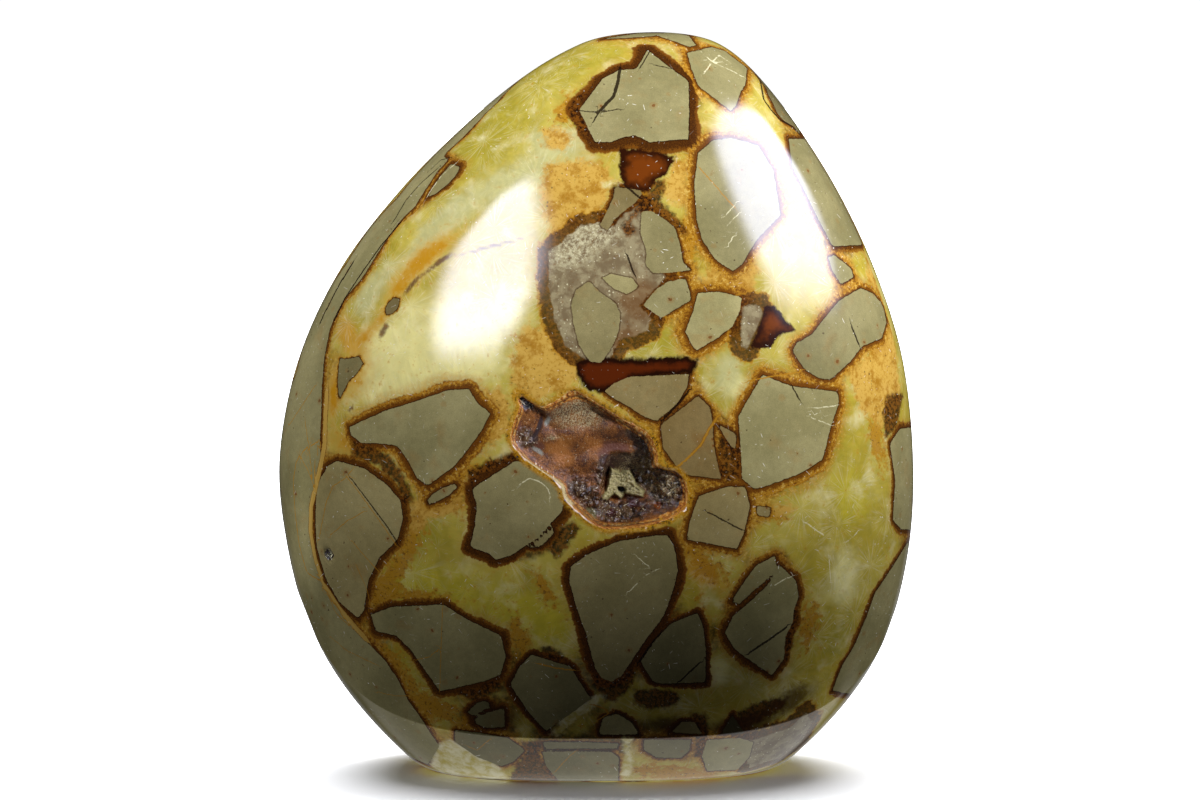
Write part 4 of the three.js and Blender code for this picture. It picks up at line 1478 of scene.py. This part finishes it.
# Outlines in the frame of the markings, and soft ovals as for the stone.
druseOutlines = {
    "pocket": """608,453 618,451 630,453 640,448 650,453 654,465 659,470 671,473 682,485 685,497 680,510
        661,519 636,527 611,527 597,522 597,508 601,498 600,485 602,473""",
    "mound": """610,468 619,473 628,470 634,477 635,484 643,491 642,497 630,495 624,493 620,499 613,494
        605,501 601,497 606,487 608,478""",
    "slit": "541,414 543,420 541,428 536,436 532,440 531,437 535,430 538,421",
}
druseOvals = {
    "crystal": [(528, 402, 9, 10, 30), (524, 438, 8, 14, 0), (640, 432, 26, 8, 40), (652, 455, 12, 16, -20),
        (668, 488, 22, 20, 20), (618, 512, 30, 12, 0), (582, 492, 18, 12, 40), (600, 476, 6, 12, 0),
        (640, 478, 12, 10, 0)],
    "gentleWall": [(560, 412, 44, 24, 0), (528, 430, 18, 30, 0), (640, 425, 20, 10, 40)],
    "ember": [(562, 457, 14, 12, 20), (551, 448, 12, 5, 10), (596, 446, 14, 8, 30), (566, 440, 10, 6, 0)],
    "mauve": [(618, 447, 14, 5, 10), (603, 456, 6, 9, 10), (517, 424, 4, 14, -15), (538, 445, 8, 4, 30)],
    # Dark crystals and painted shade deep in the pocket and under its overhang.
    "darkAndShade": [(614, 463, 13, 7, 0), (628, 462, 12, 6, 10), (640, 440, 22, 10, 38), (668, 495, 22, 18, 20),
        (616, 512, 34, 12, 0), (578, 490, 18, 11, 25), (640, 466, 16, 12, 30), (604, 468, 8, 12, 0),
        (530, 440, 8, 12, 0)],
    "pale": [(640, 468, 20, 15, 0), (664, 487, 16, 13, 0), (574, 409, 22, 10, -4), (592, 406, 14, 8, 20),
        (552, 438, 8, 3, 0), (580, 422, 22, 8, 0)],
    "hole": [(620.5, 489.5, 4.4, 3.2, 20)],
    "maroon": [(633, 504, 9, 6, -20), (611, 514, 7, 6, 0)],
    "gem": [(657, 506, 5, 4.5, 0)],
    "greenWall": [(590, 514, 8, 6, 50)],
    "sheen": [(547, 421, 3, 7, 25), (537, 451, 8, 3, 35)],
    "violet": [(528, 401, 8, 9, 30), (524, 398, 5, 8, 0)],
    "whiteLip": [(545, 478, 34, 7, 36), (565, 498, 6, 12, 0)],
    "wideRim": [(640, 425, 34, 12, 38), (660, 455, 10, 18, -15), (580, 392, 26, 10, 0)],
}


# Jittered crystals: over a grid of cells, the tallest of the nearby faceted pyramids. Each place,
# size, turn and lean is a scattered number from 0 to 1, the fraction of a large sine.
def crystals(x, z, cell, seed, sides=6):
    i, j = np.floor(x / cell), np.floor(z / cell)
    best = np.zeros(x.shape)
    pick = np.zeros(x.shape)
    for di in (-1, 0, 1):
        for dj in (-1, 0, 1):
            a, b = i + di, j + dj

            def scatter(series):
                wave = np.sin(a * 127.1 + b * 311.7 + (seed + series) * 74.7) * 43758.5453
                return wave - np.floor(wave)

            px, pz = (a + 0.15 + 0.7 * scatter(1)) * cell - x, (b + 0.15 + 0.7 * scatter(2)) * cell - z
            turn = np.arctan2(pz, px) + 2 * math.pi * scatter(3)
            wedge = 2 * math.pi / sides
            facet = np.cos((turn % wedge) - wedge / 2)
            size = cell * (0.45 + 0.5 * scatter(4))
            lean = 1 + 0.35 * np.cos(turn + 6 * scatter(5))
            height = (0.35 + 0.65 * scatter(6)) * (1 - np.hypot(px, pz) * facet * lean / size)
            pick = np.where(height > best, scatter(7), pick)
            best = np.maximum(best, height)
    return best, pick


# The crust's depth behind the polished face: the bed, which goes down only part of the way into the
# pocket, less swells, crystals and mound, plus hole and slit, all times the wall, which grows from
# nought at the rim to one inside.
def druseDepth(x, z, floor, edgeRoom, marks):
    width = druse["wall"] + druse["gentle"] * np.clip(marks["gentleWall"], 0, 1)
    wall = 1 - np.exp(-(edgeRoom / width) ** druse["wallPower"])
    rough = np.clip(marks["crystal"], 0, 1)
    fineHeight, *fineGrid = druse["fine"]
    coarseHeight, *coarseGrid = druse["coarse"]
    fine, finePick = crystals(x, z, *fineGrid)
    coarse, coarsePick = crystals(x, z, *coarseGrid)
    mound = ease(marks["mound"], -0.45, 0.35)
    growth = fineHeight * fine * (druse["fineLeast"] + (1 - druse["fineLeast"]) * rough)
    growth += coarseHeight * coarse * rough * (1 - mound)
    places = np.stack([x, z, 0 * x], -1).reshape(-1, 3)
    size, length, seed = druse["swells"]
    swells = waves(places, length, seed).reshape(x.shape) * size
    pocket = ease(marks["pocket"], -0.3, 0.9)
    slope = np.minimum(floor, hollow["wallDepth"] + hollow["dishDepth"] + druse["bedRoom"])
    bed = slope + druse["pocketShare"] * pocket * np.maximum(floor - slope, 0) - druse["bedLift"]
    share, grain = druse["moundGrain"]
    depth = wall * (bed - swells - growth * wall - druse["moundHeight"] * mound * (share + grain * fine))
    hole = druse["holeDepth"] * ease(marks["hole"], 0.2, 0.6)
    depth += wall * (hole + druse["slitDepth"] * ease(marks["slit"], -0.3, 0.3))
    return depth, np.maximum(finePick * 0.5, coarsePick * rough)


# The square from -1 to 1 mapped on to the rim's shape, ring for ring. Returns the places, the share
# of the way to the rim, the share of the way out over the lip and the room left to the rim.
def druseGrid():
    n = druse["cells"]
    u, v = np.meshgrid(np.linspace(-1, 1, n + 1), np.linspace(-1, 1, n + 1))
    wide = np.abs(u) > np.abs(v)
    big = np.where(wide, u, v)
    small = np.where(wide, v, u)
    lean = np.where(wide, 1, -1) * math.pi / 4 * small / np.where(big == 0, 1, big)
    turn = np.where(wide, 0, math.pi / 2) + lean
    angle = turn + np.where(big < 0, math.pi, 0)
    lipStart = druse["lipStart"]
    inner = np.minimum(np.abs(big) / lipStart, 1)
    out = np.clip((np.abs(big) - lipStart) / (1 - lipStart), 0, 1)
    reach = rimReach(np.arctan2(np.sin(angle), np.cos(angle)))
    radius = inner * reach + out * druse["lipReach"]
    x = hollow["centre"][0] + radius * np.cos(angle)
    z = hollow["centre"][1] + radius * np.sin(angle)
    return x, z, inner, out, (1 - inner) * reach


# Everything that shapes or colours the crust, read in the frame from its bed.
def markDruse(x, z, floor):
    spots = toFrame(np.stack([x, frontY(x, z) + floor * druse["seenAt"], z], -1).reshape(-1, 3))
    scale = np.broadcast_to(np.eye(2) * druse["frameScale"], (len(spots), 2, 2))
    marks = {name: sum(ovalField(spots, oval) for oval in ovals) for name, ovals in druseOvals.items()}
    for name, text in druseOutlines.items():
        marks[name] = outlineField(spots, scale, text, margin=200)[0]
    return {name: values.reshape(x.shape) for name, values in marks.items()}


# One closed surface: the square front, whose outer steps form the lip, then rings of the back that
# follow the bed, and a fan that closes the middle.
def buildDruse():
    n = druse["cells"]
    x, z, inner, out, edgeRoom = druseGrid()
    floor = floorDepth(x, z, inner)
    marks = markDruse(x, z, floor)
    depth, facet = druseDepth(x, z, floor, edgeRoom, marks)
    closing = 1 - np.exp(-(edgeRoom / druse["closing"]) ** druse["wallPower"])
    depth = np.minimum(depth, np.maximum(floor - druse["thinnest"], 0) * closing + druse["lipRise"])
    lip = -druse["lipRise"] * (1 - out) + druse["lipEnd"] * out
    depth = np.where(out > 0, lip, np.maximum(depth, -druse["lipRise"]))
    front = np.stack([x, frontY(x, z) + depth, z], -1).reshape(-1, 3)
    loop = np.concatenate([np.arange(n), np.arange(n) * (n + 1) + n,
                           (n + 1) * n + np.arange(n, 0, -1), np.arange(n, 0, -1) * (n + 1)])
    middle = np.array([hollow["centre"][0], 0, hollow["centre"][1]])
    shares = np.array(druse["backShares"])[:, None]
    rimX, rimZ = (x.ravel()[loop] - middle[0]), (z.ravel()[loop] - middle[2])
    backX, backZ = middle[0] + rimX * shares, middle[2] + rimZ * shares
    backDepth = floorDepth(backX, backZ, np.broadcast_to(shares, backX.shape)) + druse["backGap"]
    backDepth[0] = druse["back"]
    rings = np.stack([backX, frontY(backX, backZ) + backDepth, backZ], -1)
    hub = np.array([[middle[0], rings[-1, :, 1].mean(), middle[2]]])
    points = swell(np.vstack([front, rings.reshape(-1, 3), hub]))
    row, column = np.mgrid[0:n, 0:n]
    a = row * (n + 1) + column
    quads = np.stack([a, a + 1, a + n + 2, a + n + 1], -1).reshape(-1, 4)
    side = druse["texture"]["front"]
    uv = cornerUv(column, row, column + 1, row, column + 1, row + 1, column, row + 1) / n * side
    count = len(loop)
    k = np.arange(count)
    following = (k + 1) % count
    chain = np.vstack([loop[None], len(front) + np.arange(len(shares) * count).reshape(-1, count)])
    level = np.arange(len(shares))[:, None]
    sides = [chain[level, following], chain[level, k], chain[level + 1, k], chain[level + 1, following]]
    bands = np.stack(sides, -1)
    fan = np.stack([chain[-1][following], chain[-1], np.full(count, len(points) - 1)], -1)
    s, t = k / count * side, (k + 1) / count * side
    start, span, height = druse["texture"]["rings"]
    low = start + span * level / len(shares)
    high = low + height / len(shares)
    outer, inmost = druse["texture"]["fan"]
    bandUv = cornerUv(t, low, s, low, s, high, t, high)
    fanUv = cornerUv(t, outer, s, outer, (s + t) / 2, inmost)
    piece = makeMesh("vug_druse", points, quads.tolist() + bands.reshape(-1, 4).tolist() + fan.tolist(),
                     np.vstack([uv, bandUv, fanUv]))
    marks.update(edgeRoom=np.where(out > 0, -out * druse["lipReach"], edgeRoom), facet=facet)
    for name, values in marks.items():
        flat = values.reshape(-1)
        behind = np.tile(flat[loop], len(shares))
        setAttribute(piece.data, name, np.concatenate([flat, behind, [flat.mean()]]))
    return piece


# The crust's colours in the same way.
druseFinish = {
    "rust": (112, 66, 32),
    "rustDark": (58, 32, 18),
    "rustLight": (148, 98, 52),
    "ember": (160, 103, 50),
    "mauve": (98, 60, 50),
    # The next two colours are partly dark crystals and partly painted shade in the pocket.
    "darkAndShade": (40, 24, 21),
    "darkAndShadePale": (104, 82, 60),
    "speck": (188, 176, 138),
    # White of the painted sparkles.
    "sparkleHighlight": (240, 228, 200),
    "moundGreen": (160, 152, 104),
    "moundDark": (84, 76, 48),
    "maroon": (72, 36, 32),
    "gem": (140, 76, 34),
    "greenWall": (108, 102, 66),
    "violet": (46, 40, 46),
    "sheen": (150, 152, 146),
    "lipGold": (204, 150, 62),
    "lipOrange": (168, 92, 32),
    "lipWhite": (226, 208, 160),
    # Black of the painted shade in the mound's hole.
    "holeShade": (12, 7, 6),
}


# Noise in the crust, as for the stone.
drusePatterns = {
    "ragged": (0.9, 5.0, 0.65),
    "crumbs": (3.4, 4.0, 0.75),
    "grain": (5.0, 3.0, 0.7),
    "cover": (0.55, 5.0, 0.65, 0.5),
    "crumbled": (1.5, 5.0, 0.78),
}
drusePolish = {"roughness": (0.5, 0.2), "ior": 1.5, "bumpDepth": 0.00014, "bumpStrength": 0.7}
druseScattered = {
    "sparks": {"PerMm": 2.1, "Share": 0.42, "Size": 0.3},
    "needles": {"PerMm": 0.9, "Share": 0.7, "Long": 0.7, "Half": 0.055},
}


# Rust first, then its zones, the mound, sparks and needles, and last the golden rim.
def makeDruseMaterial():
    made, tree, shader, mm = newMaterial("druse")
    tone = {key: paint(*colour) for key, colour in druseFinish.items()}
    ragged = wobble(tree, mm, drusePatterns["ragged"])
    crumbs = noise(tree, mm, *drusePatterns["crumbs"])
    grit = step(tree, crumbs, 0.4, 0.62)

    def zone(name, low=0.25, high=0.75, rough=1.3):
        return step(tree, frayed(tree, ragged, rough, name), low, high)

    grain = wobble(tree, mm, drusePatterns["grain"])
    cover = calc(tree, "MULTIPLY_ADD", grain, 1.5, noise(tree, mm, *drusePatterns["cover"]))
    colour = ramp(tree, cover, [(0.36, tone["rustDark"]), (0.5, tone["rust"]), (0.66, tone["rustLight"])])
    colour = mix(tree, times(tree, zone("ember", 0.2, 1.0), 0.75), colour, tone["ember"])
    colour = mix(tree, times(tree, zone("mauve"), 0.85), colour, tone["mauve"])
    # Dark crystals speckled paler, with painted shade deep in the pocket and under the overhang.
    dark = mix(tree, step(tree, calc(tree, "MULTIPLY_ADD", value(tree, "facet"), 0.5, crumbs), 0.6, 0.84),
               tone["darkAndShade"], tone["darkAndShadePale"])
    darkAndShade = calc(tree, "MAXIMUM", zone("darkAndShade"), times(tree, zone("crystal"), 0.7))
    colour = mix(tree, times(tree, darkAndShade, 0.94), colour, dark)
    pale = times(tree, zone("pale", 0.1, 0.9), step(tree, crumbs, 0.44, 0.6), 0.85)
    colour = mix(tree, pale, colour, tone["speck"])
    for name, low, high, keys in (
            ("violet", 0.3, 0.7, ("violet", "sheen")), ("sheen", 0.35, 0.8, ("darkAndShadePale", "sheen")),
            ("greenWall", 0.3, 0.7, ("moundDark", "greenWall")), ("maroon", 0.45, 0.7, ("darkAndShade", "maroon")),
            ("gem", 0.4, 0.7, ("lipOrange", "gem"))):
        share = step(tree, crumbs, 0.3, 0.5) if name != "violet" else step(tree, crumbs, 0.56, 0.66)
        covered = zone(name, low, high, 0.8)
        colour = mix(tree, covered, colour, mix(tree, share, tone[keys[0]], tone[keys[1]]))
    mound = step(tree, frayed(tree, ragged, 1.4, "mound"), -0.35, 0.05)
    # Painted shade: the mound darkens round its foot, where it meets the pocket.
    moundFootShade = step(tree, frayed(tree, ragged, 1.6, "mound"), -0.3, 0.4, 0.3, 0.0)
    green = ramp(tree, calc(tree, "SUBTRACT", crumbs, moundFootShade),
                 [(0.2, tone["moundDark"]), (0.42, tone["moundGreen"]), (0.6, tone["speck"])])
    colour = mix(tree, mound, colour, green)
    # The hole in the mound painted black: painted shade inside it.
    colour = mix(tree, step(tree, value(tree, "hole"), 0.3, 0.6), colour, tone["holeShade"])
    # The slit painted dark: its dark crystals and painted shade inside it.
    colour = mix(tree, step(tree, value(tree, "slit"), -0.2, 0.2), colour, tone["darkAndShade"])

    # Painted highlights: white sparks and needles catching light on the crystals.
    sparks = useGroup(tree, grainGroup, Place=bend(tree, mm, 2.4, 0.4), **druseScattered["sparks"])
    sparkZone = calc(tree, "MAXIMUM", times(tree, zone("crystal"), 0.9), calc(tree, "MULTIPLY", grit, 0.55))
    colour = mix(tree, times(tree, sparks["Mask"], sparkZone), colour, tone["sparkleHighlight"])
    needles = useGroup(tree, scratchGroup, Place=mm, **druseScattered["needles"])
    colour = mix(tree, times(tree, needles["Mask"], zone("crystal"), 0.95), colour, tone["sparkleHighlight"])

    crumbled = wobble(tree, mm, drusePatterns["crumbled"])
    room = calc(tree, "MULTIPLY_ADD", crumbled, 1.6, value(tree, "edgeRoom"))
    wide = calc(tree, "MULTIPLY_ADD", value(tree, "wideRim"), 1.2, 1.0)
    place = calc(tree, "DIVIDE", room, wide)
    lip = ramp(tree, calc(tree, "ADD", crumbled, 0.5),
               [(0.38, tone["rustDark"]), (0.46, tone["lipOrange"]), (0.55, tone["lipGold"]),
                (0.64, tone["lipWhite"])])
    dark = times(tree, step(tree, place, 0.3, 0.45), step(tree, place, 0.75, 0.6), 0.7)
    lip = mix(tree, dark, lip, tone["rustDark"])
    white = times(tree, zone("whiteLip", 0.2, 0.5, 0.4), step(tree, place, 0.6, 0.4))
    lip = mix(tree, white, lip, tone["lipWhite"])
    colour = mix(tree, step(tree, place, 1.1, 0.8), colour, lip)
    plug(tree, shader.inputs["Base Color"], colour)
    plug(tree, shader.inputs["Roughness"], step(tree, zone("crystal"), 0.0, 1.0, *drusePolish["roughness"]))
    shader.inputs["IOR"].default_value = drusePolish["ior"]
    bump = tree.nodes.new("ShaderNodeBump")
    bump.inputs["Distance"].default_value = drusePolish["bumpDepth"]
    bump.inputs["Strength"].default_value = drusePolish["bumpStrength"]
    plug(tree, bump.inputs["Height"], crumbs)
    tree.links.new(bump.outputs[0], shader.inputs["Normal"])
    return made


drusePiece = buildDruse()
drusePiece.data.materials.append(makeDruseMaterial())
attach(drusePiece, "root")
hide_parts("vug_crust")
print("druse built:", len(drusePiece.data.vertices), "vertices")

# The white floor and the surroundings. Distances are in metres.
stage = {
    "floorRadius": 6.0,
    "floorSides": 96,
    "floorColour": (0.85, 0.86, 0.89, 1),
    "beamDistance": 2.5,
    "beamSize": 0.02,
    "fromBelow": 0.3,
    "fromBelowWidth": 30,
    "background": 1.05,
    "ambient": 0.016,
    "boxTint": (0.93, 0.97, 1.22),  # of the softboxes in the stone's gloss, and of the glow round them
    "haloTint": (0.8, 0.9, 1.3),
}

# Lamps for the stone's own colour, with no highlight of their own. Each is a wide soft spot whose
# beam fades out over the stone: azimuth to the right of the front, elevation, the point aimed at
# and the beam's radius there in millimetres, brightness.
beams = [
    ("keyBeam", 43, 19, (5, 0, 122), 105, 4.4),
    ("leftBeam", -82, 23, (-53, 0, 300), 297, 4.2),
    ("rightBeam", 99, 29, (60, 0, 111), 440, 2.1),
    ("rearLeftBeam", -150, 40, (0, 0, 90), 260, 1.6),
    ("rearRightBeam", 155, 35, (0, 0, 90), 260, 1.3),
    ("footBeam", 180, -80, (3, -20, 0), 74, 2.1),
]

# The floor's own light, so that the stone's shadow on it stays soft: azimuth, elevation, width in
# degrees, brightness.
floorSuns = [
    ("floorSunRight", 147, 66, 40, 5.4),
    ("floorSunLeft", -147, 66, 40, 5.4),
    ("floorSky", 180, 60, 176, 0.9),
]

# Softboxes that only reflections see: brightness, softness of the border, brightness and softness
# of the glow round it, and the corners, each an azimuth and an elevation, clockwise as seen from
# the stone.
softboxes = {
    "left": (14.0, 0.06, 0.45, 0.2,
             [(-50.5, 34.5), (-43.5, 41.5), (-35.6, 41), (-25.5, 33), (-15.5, 17), (-17.5, 13.5),
              (-36, 13.5)]),
    "right": (13.0, 0.075, 2.4, 0.32,
              [(45, 46), (72, 55), (94, 50), (113, 38), (112, 29), (84, 17), (44, 15)]),
}


# The direction for an azimuth to the right of the front and an elevation, in degrees.
def toWay(azimuth, elevation):
    a, e = math.radians(azimuth), math.radians(elevation)
    return Vector((math.sin(a) * math.cos(e), -math.cos(a) * math.cos(e), math.sin(e)))


# A lamp out in a direction from a point, in metres, turned to it.
def aim(lamp, way, point, distance):
    lamp.location = Vector(point) + way * distance
    lamp.rotation_euler = way.to_track_quat("Z", "Y").to_matrix().to_euler()


# A lamp that stands at the middle until it is aimed.
def newLamp(name, kind, energy):
    data = bpy.data.lights.new(name, kind)
    data.energy = energy
    lamp = bpy.data.objects.new(name, data)
    bpy.context.scene.collection.objects.link(lamp)
    return lamp, data


# A wide white disc that only the camera and its own lamps see.
def makeFloor():
    count = stage["floorSides"]
    ring = np.arange(count) / count * 2 * math.pi
    points = np.stack([np.cos(ring), np.sin(ring), 0 * ring], -1) * stage["floorRadius"] - [0, 0, 0.0002]
    mesh = bpy.data.meshes.new("floor")
    mesh.from_pydata(points, [], [list(range(count))])
    floor = bpy.data.objects.new("floor", mesh)
    bpy.context.scene.collection.objects.link(floor)
    made = bpy.data.materials.new("floorWhite")
    made.use_nodes = True
    shader = made.node_tree.nodes["Principled BSDF"]
    shader.inputs["Base Color"].default_value = stage["floorColour"]
    shader.inputs["Roughness"].default_value = 0.9
    shader.inputs["Specular IOR Level"].default_value = 0.0
    mesh.materials.append(made)
    floor.visible_diffuse = False
    floor.visible_glossy = False
    floor.visible_shadow = False
    return floor


# Keeps a lamp to the pieces of one collection and out of reflections.
def lightOnly(lamp, lit):
    lamp.light_linking.receiver_collection = lit
    lamp.visible_glossy = False


# Lamps of the floor alone.
def makeFloorSuns(floor):
    only = bpy.data.collections.new("floorOnly")
    only.objects.link(floor)
    for name, azimuth, elevation, width, brightness in floorSuns:
        lamp, data = newLamp(name, "SUN", brightness)
        data.angle = math.radians(width)
        aim(lamp, toWay(azimuth, elevation), (0, 0, 0), 2)
        lightOnly(lamp, only)


# Lamps of the stone alone. Their power goes with the distance squared, so that distance leaves
# the brightness on the stone as it is.
def makeBeams():
    distance = stage["beamDistance"]
    stone = bpy.data.collections.new("stoneOnly")
    stone.objects.link(stonePiece)
    stone.objects.link(drusePiece)
    for name, azimuth, elevation, target, radius, brightness in beams:
        lamp, data = newLamp(name, "SPOT", brightness * 4 * math.pi * distance ** 2)
        data.spot_size = 2 * math.atan(radius / 1000 / distance)
        data.spot_blend = 1.0
        data.shadow_soft_size = stage["beamSize"]
        aim(lamp, toWay(azimuth, elevation), [n / 1000 for n in target], distance)
        lightOnly(lamp, stone)
    lamp, data = newLamp("fromBelow", "SUN", stage["fromBelow"])
    data.angle = math.radians(stage["fromBelowWidth"])
    lamp.rotation_euler = (math.pi, 0, 0)
    lightOnly(lamp, stone)


# Light within a many-sided border of directions: inside every plane through two corners.
def softboxLight(tree, way, brightness, softness, corners):
    light = brightness
    for first, second in zip(corners, corners[1:] + corners[:1]):
        inward = toWay(*second).cross(toWay(*first)).normalized()
        facing = measure(tree, "DOT_PRODUCT", way, inward)
        light = calc(tree, "MULTIPLY", light, step(tree, facing, -softness, softness))
    return light


# The room in the gloss: how far back and how low each pale part fades in, and its brightness.
room = {
    "floor": (-0.6, -0.92),
    "behind": ((0.1, 0.5), (-0.42, -0.6), 0.7),
    "farEdge": ((0.8, 0.95), (-0.08, -0.25), 0.35),
    "leftToRight": (-0.6, 0.5, 0.35, 1.2),
    "least": 0.015,
}


# Camera rays see white, glossy rays a dim room with a pale back and floor, the rest is ambient.
def makeWorld():
    world = bpy.data.worlds.new("studio")
    bpy.context.scene.world = world
    world.use_nodes = True
    tree = world.node_tree
    tree.nodes.clear()
    out = tree.nodes.new("ShaderNodeOutputWorld")
    way = tree.nodes.new("ShaderNodeTexCoord").outputs["Generated"]
    across, back, rise = parts(tree, way)
    low = step(tree, rise, *room["floor"])
    pale = [times(tree, step(tree, back, *depths), step(tree, rise, *heights), brightness)
            for depths, heights, brightness in (room["behind"], room["farEdge"])]
    for part in pale:
        low = calc(tree, "MAXIMUM", low, part)
    sided = times(tree, low, step(tree, across, *room["leftToRight"]))
    low = calc(tree, "MAXIMUM", sided, room["least"])
    glow = vectorCalc(tree, "SCALE", (1.0, 1.0, 1.0), scale=low)
    for brightness, softness, halo, haloSoftness, corners in softboxes.values():
        for tint, strength, border in (("boxTint", brightness, softness), ("haloTint", halo, haloSoftness)):
            amount = softboxLight(tree, way, strength, border, corners)
            glow = vectorCalc(tree, "ADD", glow, vectorCalc(tree, "SCALE", stage[tint], scale=amount))
    rays = tree.nodes.new("ShaderNodeLightPath").outputs
    colour = mix(tree, rays["Is Glossy Ray"], (stage["ambient"],) * 3 + (1.0,), glow)
    colour = mix(tree, rays["Is Camera Ray"], colour, (stage["background"],) * 3 + (1.0,))
    light = tree.nodes.new("ShaderNodeBackground")
    tree.links.new(colour, light.inputs["Color"])
    tree.links.new(light.outputs[0], out.inputs["Surface"])


makeFloorSuns(makeFloor())
makeBeams()
makeWorld()
settings = bpy.context.scene.view_settings
settings.view_transform = "Standard"
settings.look = "None"
print("stage set")
